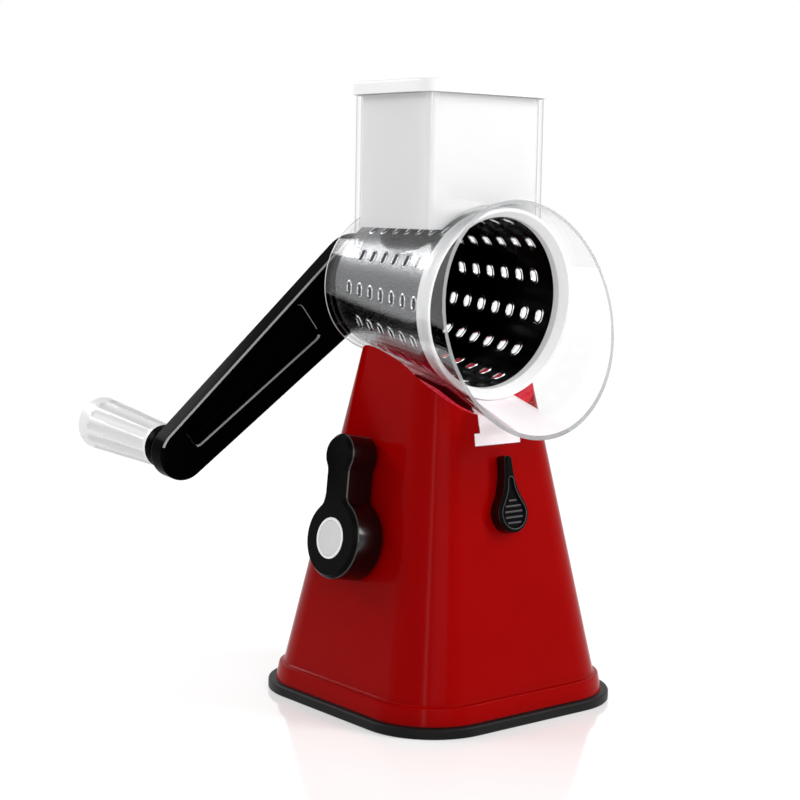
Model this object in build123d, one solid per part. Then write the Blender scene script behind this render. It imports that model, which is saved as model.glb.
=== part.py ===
from build123d import *
from math import atan, cos, degrees, pi, radians, sin, sqrt, tan
import os

# Rotary drum shredder for the kitchen table, in millimetres.
# Origin: centre of the square suction foot on the table. +Z up, the discharge horn points to -Y,
# the crank is at +Y and the suction lever is on the -X side.

# ---- fits -------------------------------------------------------------------------------------
RUN_FIT = 0.05            # radial play of a shaft in its bush or of a square in its socket
SLIDE_GAP = 0.3           # play beside a sliding piece
SEAT_GAP = 0.2            # play under a piece that rests on another

# ---- rubber foot and skirt of the tower -------------------------------------------------------
PAD_HALF = 67.0           # half width of the square rubber pad
PAD_RADIUS = 34.0         # its corner radius
PAD_HEIGHT = 4.6
PAD_EDGE = 1.2            # rounding of its upper edge
PAD_RECESS_RADIUS = 52.0  # hollow under the pad, which makes the vacuum
PAD_RECESS_DEPTH = 1.4
PAD_HOLE_RADIUS = 30.0    # opening that the membrane closes
SKIRT_HALF = 63.6         # foot of the tower, where it stands on the pad
SKIRT_RADIUS = 31.0
SKIRT_TOP = 12.4          # height of the step between skirt and wall
SKIRT_DRAFT = 1.4         # how much narrower the skirt is at its top
SKIRT_BEVEL = 1.0

# ---- tower ------------------------------------------------------------------------------------
WALL = 2.5
FOOT_LEVEL = 18.0         # the tower's half width and corner radius are given at two levels
FOOT_HALF = 58.0
FOOT_RADIUS = 24.0
TOP_LEVEL = 150.0
TOP_HALF = 33.6
TOP_RADIUS = 16.0
TOWER_LIMIT = 172.0       # the walls run up to here before the cradle is cut out of them
CRADLE_RADIUS = 38.5      # rear of the saddle that the housing nests in, round the drum's axis
CRADLE_REAR = -62.0
CRADLE_FLARE = ((-14.0, 40.2), (9.0, 43.3), (26.0, 48.1), (46.0, 50.9))
DECK = 2.4                # thickness of the saddle's floor

# ---- rail under the housing and its slot in the tower ------------------------------------------
NECK_HALF = 10.2
FOOT_RAIL_HALF = 13.6
RAIL_FLOOR = 121.9        # height of the slot's floor
RAIL_FOOT_HEIGHT = 5.5
RAIL_LENGTH = 20.0        # length of the wide foot; the housing is free once it has gone this far
NECK_REAR = 15.4
NECK_WALL = 2.2
BLOCK_SIDE = 3.1          # plastic beside and under the slot

# ---- drum axis and housing ----------------------------------------------------------------------
AXIS_HEIGHT = 188.2       # height of the drum's axis over the origin
AXIS_TILT = 4.6           # the axis falls towards the horn, in degrees
CLEAR_WALL = 1.8
BARREL_REAR = -48.2       # places along the drum's axis, positive towards the horn
BARREL_REAR_RADIUS = 34.2
THROAT = 31.0             # where the barrel turns into the horn
THROAT_RADIUS = 43.8
HORN_SLOPE = 0.262        # growth of the horn's radius per millimetre
HORN_BLEND = 60.0
RIM_CENTRE_Y = -58.5      # the horn is cut off by a leaning plane
RIM_CENTRE_Z = 179.3
RIM_LEAN = 11.3
HOPPER_HALF_X = 35.8
HOPPER_HALF_Y = 29.0
HOPPER_RADIUS = 8.0
HOPPER_CENTRE_Y = -0.6
HOPPER_WALL = 2.2
HOPPER_TOP = 277.7
KEEL_REAR = -31.0         # the housing's keel stands on the saddle from here forward
KEEL_DROP = 0.4           # gap between the keel and the saddle
BUSH_RADIUS = 8.5
BUSH_FLANGE_RADIUS = 11.0
BUSH_FLANGE = 1.1
BUSH_BOSS = 2.4           # raised ring inside the housing's rear wall

# ---- shredding drum -----------------------------------------------------------------------------
STEEL = 0.8
DRUM_REAR = -43.0
DRUM_REAR_RADIUS = 31.4
DRUM_FRONT = 31.5
DRUM_FRONT_RADIUS = 39.6
HOLE_ROWS = 13
HOLE_PITCH = 9.1          # spacing of the holes along the axis
HOLE_FIRST = -30.5
HOLE_COUNT = 7
HOLE_ROW_ANGLE = 46.9     # angle of the first row, from straight up towards +X
HOLE_LONG = 5.6
HOLE_WIDE = 3.6
RING_REAR = 29.0
RING_FRONT = 39.0
RING_RADIUS = 41.4
RING_LIP_RADIUS = 43.2
RING_BORE = 38.8
RING_MOUTH_RADIUS = 41.7
HUB_THICKNESS = 2.5
HUB_SOCKET_RADIUS = 9.0
HUB_SOCKET_FRONT = -34.0
SOCKET_DEPTH = 7.0

# ---- crank --------------------------------------------------------------------------------------
CRANK_LENGTH = 127.0
CRANK_ANGLE = 39.98       # the arm points to -X and down by this angle
ARM_FRONT = -62.7
ARM_THICKNESS = 10.5
ARM_HUB_RADIUS = 20.2
ARM_TIP_RADIUS = 12.8
ARM_WALL = 3.6            # rim of the hollow side of the arm
ARM_FLOOR = 3.0
ARM_EDGE = 1.4
ARM_POCKET_START = 22.0   # hollow of the arm, measured from the drum's axis
ARM_POCKET_END = 113.0
ARM_POCKET_EDGE = 2.4
ARM_BOSS_RADIUS = 26.0    # cone between the arm and the housing
ARM_BOSS_GAP = 0.5
SHAFT_RADIUS = 6.0
SHAFT_SQUARE = 8.0
SHAFT_TAIL = 5.5          # how deep the shaft sits in the arm
SCREW_HEAD_HEIGHT = 3.0
GRIP_START = -77.2
GRIP_LENGTH = 62.6        # straight part, before the rounded end
GRIP_NARROW_RADIUS = 10.0
GRIP_WIDE_RADIUS = 13.0
GRIP_DOME = 5.3
GRIP_FLUTES = 12
FLUTE_RADIUS = 2.4
FLUTE_DEPTH = 0.8
FLUTE_START = 3.0
FLUTE_LENGTH = 52.0
AXLE_RADIUS = 4.0
AXLE_INSET = 6.3          # the axle ends this far inside the grip
AXLE_SEAT = 4.0           # depth of its other end in the arm, from the arm's hollow side
COLLAR_RADIUS = 9.0
CAP_RADIUS = 7.0
CAP_DEPTH = 1.5

# ---- pusher -------------------------------------------------------------------------------------
PUSHER_GAP = 0.5
PUSHER_BOTTOM = 218.0
PUSHER_WALL = 1.8
DRUM_CLEARANCE = 2.0      # room for the teeth between drum and pusher
LID_OVERHANG = 1.7
LID_HEIGHT = 5.95
LID_EDGE = 1.2
LID_DISH = 1.0

# ---- suction lever and its cam ------------------------------------------------------------------
LEVER_UP = 59.7           # place of the lever's axis, measured up the left wall from FOOT_LEVEL
LEVER_HUB_RADIUS = 18.2
LEVER_LOBE_RADIUS = 9.6
LEVER_LOBE_DISTANCE = 37.8
LEVER_LEAN = 6.8          # the lever leans to the rear by this angle
LEVER_WAIST = 7.3         # half width of its neck
LEVER_BEVEL = 2.0
LEVER_BACK = 2.4          # distance of its back from the wall
LEVER_THICKNESS = 15.8
LEVER_FILLET = 5.0
LEVER_CAP_RADIUS = 9.3
LEVER_RING = 1.2
LEVER_CAP_DEPTH = 2.0
CAMSHAFT_RADIUS = 5.0
CAMSHAFT_SQUARE = 7.0
CAMSHAFT_BUSH_RADIUS = 6.5
CAMSHAFT_BOSS_RADIUS = 9.0
CAMSHAFT_BOSS_LENGTH = 36.0
CAM_BASE = 8.0            # cam radius under the follower at rest
CAM_RISE = 4.5            # growth of that radius over the lever's travel
CAM_WIDTH = 7.0
CAM_PLAY = 0.45
LEVER_TRAVEL = 90.0
FOLLOWER_RADIUS = 3.0
YOKE_INNER = 16.0
YOKE_POST = 4.0
YOKE_THICKNESS = 8.0
YOKE_BELOW = 14.5         # lower bar of the yoke under the cam's axis
YOKE_ABOVE = 12.2

# ---- suction foot -------------------------------------------------------------------------------
PLATE_HEIGHT = 3.4
PLATE_GAP = 1.0
PLATE_HOLE_RADIUS = 31.0
BOSS_PLACE = 45.0
BOSS_RADIUS = 5.6
BOSS_LENGTH = 26.0
SCREW_RADIUS = 1.5
SCREW_HEAD_RADIUS = 3.4
SCREW_HEAD = 1.9
SCREW_LENGTH = 16.0
LIFT_RADIUS = 13.0
LIFT_HEIGHT = 3.0
STEM_RADIUS = 4.0
STEM_SHOULDER_Z = 14.0
STEM_SHOULDER = 2.0
STEM_SHOULDER_RADIUS = 8.5
GUIDE_Z = 34.0
GUIDE_THICKNESS = 4.0
GUIDE_SPAN = 37.0
GUIDE_HALF_WIDTH = 8.0
GUIDE_FOOT = 9.0
SPRING_RADIUS = 6.2
SPRING_WIRE = 0.6
SPRING_TURNS = 5

# ---- catch on the front face ----------------------------------------------------------------------
CATCH_Z = 91.3            # height of the round end of the drop-shaped slider
CATCH_BULB = 8.8
CATCH_TIP = 2.2
CATCH_TIP_UP = 23.9
CATCH_PROUD = 6.0
CATCH_EDGE = 1.2
CATCH_GROOVE_BULB = 6.5
CATCH_GROOVE_UP = 15.0
CATCH_GROOVE_DEPTH = 0.9
CATCH_RIBS = 5
CATCH_RIB_PITCH = 2.5
CATCH_TRAVEL = 4.0
STUD_HALF = 2.8
STUD_HALF_HEIGHT = 4.0
SLIDER_HALF = 8.0
SLIDER_THICKNESS = 3.0
SLIDER_DROP = 8.0
BOLT_HALF = 4.0
BOLT_UNDER = 0.5          # the bolt stands this much under the rail's foot

os.makedirs("parts", exist_ok=True)


def write(shape, node):
    export_step(shape, "parts/" + node + ".step")


def slope():
    return (FOOT_HALF - TOP_HALF) / (TOP_LEVEL - FOOT_LEVEL)


def half_at(level):
    return FOOT_HALF - (level - FOOT_LEVEL) * slope()


def radius_at(level):
    return FOOT_RADIUS - (level - FOOT_LEVEL) * (FOOT_RADIUS - TOP_RADIUS) / (TOP_LEVEL - FOOT_LEVEL)


def rounded_square(half, radius, level):
    return Pos(0, 0, level) * RectangleRounded(2 * half, 2 * half, radius)


def tower_block(inset, low, high):
    """The tower's tapering outline as a solid, inset by a distance."""
    lower = rounded_square(half_at(low) - inset, radius_at(low) - inset, low)
    upper = rounded_square(half_at(high) - inset, radius_at(high) - inset, high)
    return loft([lower, upper], ruled=True)


def upright_box(x0, x1, y0, y1, z0, z1):
    return Pos((x0 + x1) / 2, (y0 + y1) / 2, (z0 + z1) / 2) * Box(x1 - x0, y1 - y0, z1 - z0)


def turned(points):
    """A solid of revolution about Z from (radius, height) points."""
    return revolve(Plane.XZ * make_face(Polyline(*points, close=True)), Axis.Z)


def rod(radius, z0, z1):
    return Pos(0, 0, (z0 + z1) / 2) * Cylinder(radius, z1 - z0)


def tube(outer, inner, z0, z1):
    return rod(outer, z0, z1) - rod(inner, z0 - 1, z1 + 1)


def square_rod(side, z0, z1):
    return Pos(0, 0, (z0 + z1) / 2) * Box(side, side, z1 - z0)


def pan_screw(head_radius, head, shank_radius, shank):
    """A screw with its head under z = 0 and its shank above."""
    body = rod(head_radius, -head, 0) + rod(shank_radius, 0, shank)
    slot = Pos(0, 0, -head) * (Box(head_radius * 1.1, head_radius * 0.28, head * 0.9)
                               + Box(head_radius * 0.28, head_radius * 1.1, head * 0.9))
    return body - slot


# The walls lean inwards by the same angle on all four sides.
lean = degrees(atan(slope()))
lean_sin = sin(radians(lean))
lean_cos = cos(radians(lean))
tilt_sin = sin(radians(AXIS_TILT))
tilt_cos = cos(radians(AXIS_TILT))

# Local frames. In the drum's frame Z runs along its axis to the horn and Y is up.
# In the lever's frame Z runs square through the left wall into the tower, Y is up and X is to the
# rear. In the catch's frame Z points out of the front wall and Y is up.
drum_frame = Plane(origin=(0, 0, AXIS_HEIGHT), x_dir=(1, 0, 0), z_dir=(0, -tilt_cos, -tilt_sin)).location
lever_z = FOOT_LEVEL + LEVER_UP * lean_cos
lever_x = half_at(lever_z)
lever_frame = Plane(origin=(-lever_x, 0, lever_z), x_dir=(0, 1, 0), z_dir=(lean_cos, 0, -lean_sin)).location
catch_frame = Plane(origin=(0, -half_at(CATCH_Z), CATCH_Z), x_dir=(1, 0, 0),
                    z_dir=(0, -lean_cos, lean_sin)).location

# Heights that several pieces share.
slot_half = NECK_HALF + SLIDE_GAP
foot_slot_half = FOOT_RAIL_HALF + SLIDE_GAP
rail_bottom = RAIL_FLOOR + SEAT_GAP + 0.1
rail_top = rail_bottom + RAIL_FOOT_HEIGHT
foot_slot_top = rail_top + SLIDE_GAP
slot_front = -half_at(RAIL_FLOOR) - 2
rail_front = -half_at(rail_bottom)
rail_rear = rail_front + RAIL_LENGTH
bolt_top = (rail_bottom - BOLT_UNDER - CATCH_Z) / lean_cos
slider_top = (RAIL_FLOOR - BLOCK_SIDE - 0.8 - CATCH_Z) / lean_cos - CATCH_TRAVEL
cam_depth = lever_x / lean_cos          # distance along the shaft from the wall to the tower's centre
cam_z = lever_z - lever_x * slope()     # height of the cam's axis at the tower's centre
cam_rate = CAM_RISE / LEVER_TRAVEL      # growth of the cam's radius per degree
stem_travel = CAM_RISE / lean_cos
follower_up = CAM_BASE + CAM_PLAY + FOLLOWER_RADIUS
yoke_low = cam_z - YOKE_BELOW
yoke_high = cam_z + YOKE_ABOVE
plate_top = PAD_HEIGHT + PLATE_HEIGHT
horn_end = -RIM_CENTRE_Y + THROAT      # the horn runs past its rim before it is cut


def barrel_radius(s):
    return BARREL_REAR_RADIUS + (s - BARREL_REAR) * (THROAT_RADIUS - BARREL_REAR_RADIUS) / (THROAT - BARREL_REAR)


def horn_radius(s):
    return THROAT_RADIUS + HORN_SLOPE * (s - THROAT)


def drum_radius(s):
    return DRUM_REAR_RADIUS + (s - DRUM_REAR) * (DRUM_FRONT_RADIUS - DRUM_REAR_RADIUS) / (DRUM_FRONT - DRUM_REAR)


def housing_turned(inset, rear):
    """Barrel and horn as one solid of revolution, inset by a wall."""
    line = FilletPolyline(
        (barrel_radius(rear) - inset, rear),
        (THROAT_RADIUS - inset, THROAT),
        (horn_radius(horn_end) - inset, horn_end),
        radius=HORN_BLEND,
    )
    ends = Polyline((horn_radius(horn_end) - inset, horn_end), (0, horn_end), (0, rear),
                    (barrel_radius(rear) - inset, rear))
    return drum_frame * revolve(Plane.XZ * make_face(line + ends), Axis.Z)


def cradle(offset):
    """The saddle's surface as a solid round the drum's axis."""
    flare = [(radius + offset, s) for s, radius in CRADLE_FLARE]
    last = flare[-1]
    start = (CRADLE_RADIUS + offset, CRADLE_REAR)
    line = Line(start, flare[0])
    curve = Spline(*flare, tangents=[(0.035, 1), (0.12, 1)])
    ends = Polyline(last, (0, last[1]), (0, start[1]), start)
    return drum_frame * revolve(Plane.XZ * make_face(line + curve + ends), Axis.Z)


# ---- tower --------------------------------------------------------------------------------------
def make_tower():
    outer = tower_block(0, SKIRT_TOP - 1, TOWER_LIMIT)
    skirt_high = SKIRT_TOP - SKIRT_BEVEL
    skirt = loft([rounded_square(SKIRT_HALF, SKIRT_RADIUS, PAD_HEIGHT),
                  rounded_square(SKIRT_HALF - SKIRT_DRAFT, SKIRT_RADIUS - SKIRT_DRAFT, skirt_high)],
                 ruled=True)
    step = SKIRT_DRAFT + SKIRT_BEVEL
    skirt += loft([rounded_square(SKIRT_HALF - SKIRT_DRAFT, SKIRT_RADIUS - SKIRT_DRAFT, skirt_high),
                   rounded_square(SKIRT_HALF - step, SKIRT_RADIUS - step, SKIRT_TOP)], ruled=True)
    full = tower_block(0, PAD_HEIGHT, TOWER_LIMIT)
    shell = outer + skirt - tower_block(WALL, PAD_HEIGHT - 1, TOWER_LIMIT + 1)
    saddle = cradle(0)
    deck = (cradle(DECK) & full) - saddle
    block = upright_box(-foot_slot_half - BLOCK_SIDE, foot_slot_half + BLOCK_SIDE, slot_front,
                        NECK_REAR + SLIDE_GAP + BLOCK_SIDE, RAIL_FLOOR - BLOCK_SIDE, TOP_LEVEL + 10)
    block = (block & full) - saddle
    shell = shell - saddle + deck + block
    # slot for the housing's neck and foot
    shell -= upright_box(-slot_half, slot_half, slot_front, NECK_REAR + SLIDE_GAP, RAIL_FLOOR, TOWER_LIMIT + 5)
    shell -= upright_box(-foot_slot_half, foot_slot_half, slot_front, rail_rear + SLIDE_GAP,
                         RAIL_FLOOR, foot_slot_top)
    # boss for the lever's shaft
    boss = lever_frame * rod(CAMSHAFT_BOSS_RADIUS, 0.5, CAMSHAFT_BOSS_LENGTH)
    shell += boss & full
    shell -= lever_frame * rod(CAMSHAFT_BUSH_RADIUS, -3, CAMSHAFT_BOSS_LENGTH + 3)
    # screw bosses in the corners
    for x in (-BOSS_PLACE, BOSS_PLACE):
        for y in (-BOSS_PLACE, BOSS_PLACE):
            post = Pos(x, y, 0) * rod(BOSS_RADIUS, plate_top, plate_top + BOSS_LENGTH)
            shell += post & full
    for x in (-BOSS_PLACE, BOSS_PLACE):
        for y in (-BOSS_PLACE, BOSS_PLACE):
            shell -= Pos(x, y, 0) * rod(SCREW_RADIUS + RUN_FIT, plate_top - 1, plate_top + SCREW_LENGTH)
    # guide ribs of the catch, its slot in the wall and the bolt's way through the floor
    rib_in = SLIDER_HALF + SLIDE_GAP
    for side in (-1, 1):
        x0, x1 = sorted((side * rib_in, side * (rib_in + 2.0)))
        shell += catch_frame * upright_box(x0, x1, -SLIDER_DROP - 4, slider_top - 2,
                                           -WALL - SLIDER_THICKNESS - 1.2, -WALL + 0.5)
    shell -= catch_frame * upright_box(-STUD_HALF - SLIDE_GAP, STUD_HALF + SLIDE_GAP,
                                       -STUD_HALF_HEIGHT - SLIDE_GAP,
                                       STUD_HALF_HEIGHT + CATCH_TRAVEL + SLIDE_GAP, -WALL - 1, 2)
    shell -= catch_frame * upright_box(-BOLT_HALF - SLIDE_GAP, BOLT_HALF + SLIDE_GAP, slider_top + 2,
                                       bolt_top + 2, -WALL - SLIDER_THICKNESS - 2 * SLIDE_GAP, -WALL)
    return shell


# ---- foot ---------------------------------------------------------------------------------------
def corner_places():
    return [(x, y) for x in (-BOSS_PLACE, BOSS_PLACE) for y in (-BOSS_PLACE, BOSS_PLACE)]


def make_pad():
    pad = extrude(RectangleRounded(2 * PAD_HALF, 2 * PAD_HALF, PAD_RADIUS), PAD_HEIGHT)
    pad = fillet(pad.edges().group_by(Axis.Z)[-1], PAD_EDGE)
    pad -= rod(PAD_RECESS_RADIUS, -1, PAD_RECESS_DEPTH)
    pad -= rod(PAD_HOLE_RADIUS, -1, PAD_HEIGHT + 1)
    for x, y in corner_places():
        pad -= Pos(x, y, 0) * rod(SCREW_HEAD_RADIUS + 1.0, -1, PAD_HEIGHT + 1)
    return pad


def make_plate():
    half = half_at(plate_top) - WALL - PLATE_GAP
    plate = Pos(0, 0, PAD_HEIGHT) * extrude(RectangleRounded(2 * half, 2 * half, radius_at(plate_top) - WALL),
                                            PLATE_HEIGHT)
    plate -= rod(PLATE_HOLE_RADIUS, 0, plate_top + 1)
    for x, y in corner_places():
        plate -= Pos(x, y, 0) * rod(SCREW_RADIUS + 0.3, 0, plate_top + 1)
    for y in (-1, 1):
        for x in (-1, 1):
            place = Pos(x * GUIDE_HALF_WIDTH * 0.5, y * (GUIDE_SPAN + GUIDE_FOOT * 0.5), 0)
            plate -= place * rod(SCREW_RADIUS - 0.3 + RUN_FIT, PAD_HEIGHT - 1, plate_top + 1)
    return plate


def make_base_screws():
    screw = Pos(0, 0, PAD_HEIGHT) * pan_screw(SCREW_HEAD_RADIUS, SCREW_HEAD, SCREW_RADIUS, SCREW_LENGTH)
    return Compound([Pos(x, y, 0) * screw for x, y in corner_places()])


def make_guide():
    """A bridge over the pad's centre that guides the stem."""
    bridge = upright_box(-GUIDE_HALF_WIDTH, GUIDE_HALF_WIDTH, -GUIDE_SPAN, GUIDE_SPAN,
                         GUIDE_Z, GUIDE_Z + GUIDE_THICKNESS)
    for side in (-1, 1):
        y0, y1 = sorted((side * (GUIDE_SPAN - GUIDE_THICKNESS), side * GUIDE_SPAN))
        bridge += upright_box(-GUIDE_HALF_WIDTH, GUIDE_HALF_WIDTH, y0, y1, plate_top, GUIDE_Z + 1)
        y0, y1 = sorted((side * (GUIDE_SPAN - 1), side * (GUIDE_SPAN + GUIDE_FOOT)))
        bridge += upright_box(-GUIDE_HALF_WIDTH, GUIDE_HALF_WIDTH, y0, y1, plate_top, plate_top + 3)
        for x in (-1, 1):
            place = Pos(x * GUIDE_HALF_WIDTH * 0.5, side * (GUIDE_SPAN + GUIDE_FOOT * 0.5), 0)
            bridge -= place * rod(SCREW_RADIUS - 0.3 + 0.2, plate_top - 1, plate_top + 4)
    return bridge - rod(STEM_RADIUS + RUN_FIT, GUIDE_Z - 1, GUIDE_Z + GUIDE_THICKNESS + 1)


def make_guide_screws():
    screw = Rot(180, 0, 0) * pan_screw(2.6, 1.6, SCREW_RADIUS - 0.3, 5.6)
    screws = []
    for y in (-1, 1):
        for x in (-1, 1):
            place = (x * GUIDE_HALF_WIDTH * 0.5, y * (GUIDE_SPAN + GUIDE_FOOT * 0.5), plate_top + 3)
            screws.append(Pos(*place) * screw)
    return Compound(screws)


def make_membrane():
    inner = LIFT_RADIUS + 0.1
    outer = PAD_HOLE_RADIUS - 0.1
    low = PAD_RECESS_DEPTH
    return turned([(inner, low + 1.2), (outer, low), (outer, low + 2.0), (inner, PAD_HEIGHT)])


def make_stem():
    stem = rod(STEM_RADIUS, PAD_HEIGHT + LIFT_HEIGHT, yoke_low - YOKE_POST + 1)
    return stem + rod(STEM_SHOULDER_RADIUS, STEM_SHOULDER_Z, STEM_SHOULDER_Z + STEM_SHOULDER)


def make_yoke():
    half = YOKE_THICKNESS / 2
    outer = YOKE_INNER + YOKE_POST
    yoke = upright_box(-half, half, -outer, outer, yoke_low - YOKE_POST, yoke_high + YOKE_POST)
    yoke -= upright_box(-half - 1, half + 1, -YOKE_INNER, YOKE_INNER, yoke_low, yoke_high)
    nub = Pos(0, follower_up, cam_depth) * Cylinder(FOLLOWER_RADIUS, CAM_WIDTH)
    nub = lever_frame * nub
    bridge = upright_box(-half + 1, half - 1, -FOLLOWER_RADIUS * 0.8, FOLLOWER_RADIUS * 0.8,
                         cam_z + follower_up, yoke_high + 1)
    yoke += nub
    yoke += bridge
    return yoke - rod(STEM_RADIUS + 0.02, yoke_low - YOKE_POST - 1, yoke_low - YOKE_POST + 1)


def make_spring(radius, wire, low, high, turns):
    """A closed-end coil between two seats, with the wire's own radius kept inside them."""
    rise = high - low - 2 * wire
    path = Pos(0, 0, low + wire) * Helix(rise / turns, rise, radius)
    section = Plane(origin=path @ 0, z_dir=path % 0) * Circle(wire)
    return sweep(section, path=path)


# ---- catch --------------------------------------------------------------------------------------
def drop_outline(bulb, tip, tip_up, shoulder=35.0):
    """A drop: a round end, a narrow rounded tip above it and hollow flanks."""
    side = (bulb * cos(radians(shoulder)), bulb * sin(radians(shoulder)))
    flank = Spline(side, (tip, tip_up), tangents=[(-sin(radians(shoulder)), cos(radians(shoulder))), (0, 1)])
    back = Spline((-tip, tip_up), (-side[0], side[1]),
                  tangents=[(0, -1), (-sin(radians(shoulder)), -cos(radians(shoulder)))])
    top = ThreePointArc((tip, tip_up), (0, tip_up + tip), (-tip, tip_up))
    bottom = ThreePointArc((-side[0], side[1]), (0, -bulb), side)
    return make_face(flank + top + back + bottom)


def make_button():
    body = Pos(0, 0, SLIDE_GAP) * extrude(drop_outline(CATCH_BULB, CATCH_TIP, CATCH_TIP_UP), CATCH_PROUD)
    body = fillet(body.edges().group_by(Axis.Z)[-1], CATCH_EDGE)
    face = SLIDE_GAP + CATCH_PROUD
    dish = extrude(drop_outline(CATCH_GROOVE_BULB, 1.0, CATCH_GROOVE_UP), CATCH_GROOVE_DEPTH + 1)
    dish = Pos(0, 0, face - CATCH_GROOVE_DEPTH) * dish
    ribs = Part()
    for i in range(CATCH_RIBS):
        y = (i - (CATCH_RIBS - 1) / 2) * CATCH_RIB_PITCH + 0.8
        width = sqrt(max(CATCH_GROOVE_BULB ** 2 - y * y, 1)) * 0.82
        ribs += Pos(0, y, face - CATCH_GROOVE_DEPTH / 2 - 0.2) * Box(2 * width, 0.9, CATCH_GROOVE_DEPTH + 0.1)
    body = body - dish + ribs
    stud = upright_box(-STUD_HALF, STUD_HALF, -STUD_HALF_HEIGHT, STUD_HALF_HEIGHT,
                       -WALL - SLIDE_GAP, SLIDE_GAP + 1)
    body += stud
    body -= rod(SCREW_RADIUS, -WALL - 1, SLIDE_GAP + 2.5)
    return catch_frame * body


def slider_back():
    return -WALL - SLIDE_GAP - SLIDER_THICKNESS


def make_slider():
    plate = upright_box(-SLIDER_HALF, SLIDER_HALF, -SLIDER_DROP, slider_top, slider_back(), -WALL - SLIDE_GAP)
    plate += upright_box(-BOLT_HALF, BOLT_HALF, slider_top - 1, bolt_top, slider_back(), -WALL - SLIDE_GAP)
    plate -= rod(SCREW_RADIUS + 0.1, slider_back() - 1, 0)
    return catch_frame * plate


def make_catch_screw():
    screw = pan_screw(SCREW_HEAD_RADIUS, SCREW_HEAD, SCREW_RADIUS - RUN_FIT, SLIDER_THICKNESS + WALL + 1.5)
    return catch_frame * (Pos(0, 0, slider_back()) * screw)


# ---- lever --------------------------------------------------------------------------------------
def make_lever():
    lobe = (LEVER_LOBE_DISTANCE * sin(radians(LEVER_LEAN)), LEVER_LOBE_DISTANCE * cos(radians(LEVER_LEAN)))
    waist = Rot(0, 0, -LEVER_LEAN) * Pos(0, LEVER_LOBE_DISTANCE / 2) * Rectangle(2 * LEVER_WAIST,
                                                                                LEVER_LOBE_DISTANCE)
    outline = Circle(LEVER_HUB_RADIUS) + Pos(*lobe) * Circle(LEVER_LOBE_RADIUS) + waist
    inner = [v for v in outline.vertices() if v.Y > 0]
    outline = fillet(inner, LEVER_FILLET)
    body = Pos(0, 0, -LEVER_BACK - LEVER_THICKNESS) * extrude(outline, LEVER_THICKNESS)
    body = chamfer(body.edges().group_by(Axis.Z)[0], LEVER_BEVEL)
    face = -LEVER_BACK - LEVER_THICKNESS
    body -= rod(LEVER_CAP_RADIUS + 0.1, face - 1, face + LEVER_CAP_DEPTH)
    body -= square_rod(CAMSHAFT_SQUARE + 2 * RUN_FIT, face + 6, 0)
    body -= rod(SCREW_RADIUS + 0.2, face, 0)
    body -= rod(SCREW_HEAD_RADIUS + 0.2, face - 1, face + LEVER_CAP_DEPTH + SCREW_HEAD)
    return lever_frame * body


def make_lever_screw():
    face = -LEVER_BACK - LEVER_THICKNESS
    screw = pan_screw(SCREW_HEAD_RADIUS, SCREW_HEAD - 0.1, SCREW_RADIUS, 11.0)
    return lever_frame * (Pos(0, 0, face + LEVER_CAP_DEPTH + SCREW_HEAD) * screw)


def make_lever_cap():
    face = -LEVER_BACK - LEVER_THICKNESS
    return lever_frame * rod(LEVER_CAP_RADIUS - LEVER_RING - 0.05, face - 0.1, face + LEVER_CAP_DEPTH)


def make_lever_ring():
    face = -LEVER_BACK - LEVER_THICKNESS
    return lever_frame * tube(LEVER_CAP_RADIUS, LEVER_CAP_RADIUS - LEVER_RING, face - 0.4, face + LEVER_CAP_DEPTH)


def make_camshaft():
    square_start = -LEVER_BACK - LEVER_THICKNESS + 6.5
    end = cam_depth + CAM_WIDTH / 2
    shaft = rod(CAMSHAFT_RADIUS, -LEVER_BACK + 0.2, end - CAM_WIDTH)
    shaft += square_rod(CAMSHAFT_SQUARE, square_start, end)
    shaft -= rod(SCREW_RADIUS + RUN_FIT, square_start - 1, square_start + 11)
    shaft -= rod(SCREW_RADIUS + RUN_FIT, end - 9, end + 1)
    return lever_frame * shaft


def make_shaft_bush():
    bush = rod(CAMSHAFT_BUSH_RADIUS - 0.02, 0, CAMSHAFT_BOSS_LENGTH)
    bush += rod(CAMSHAFT_BOSS_RADIUS, -LEVER_BACK + 0.5, 0)
    return lever_frame * (bush - rod(CAMSHAFT_RADIUS + RUN_FIT, -LEVER_BACK - 1, CAMSHAFT_BOSS_LENGTH + 1))


def cam_radius(angle):
    """Cam radius at an angle from the rear (0) over the top (90), at rest."""
    return CAM_BASE + cam_rate * (90 - angle)


def make_cam():
    steps = [120 - 15 * i for i in range(11)]
    rim = [(cam_radius(a) * cos(radians(a)), cam_radius(a) * sin(radians(a))) for a in steps]
    sector = make_face(Spline(*rim) + Polyline(rim[-1], (0, 0), rim[0]))
    body = extrude(sector + Circle(CAM_BASE - 1), CAM_WIDTH)
    body = Pos(0, 0, cam_depth - CAM_WIDTH / 2) * body
    return lever_frame * (body - square_rod(CAMSHAFT_SQUARE + 2 * RUN_FIT, cam_depth - 10, cam_depth + 10))


def make_cam_screw():
    screw = Rot(180, 0, 0) * pan_screw(6.0, 1.8, SCREW_RADIUS, 8.0)
    return lever_frame * (Pos(0, 0, cam_depth + CAM_WIDTH / 2) * screw)


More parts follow.
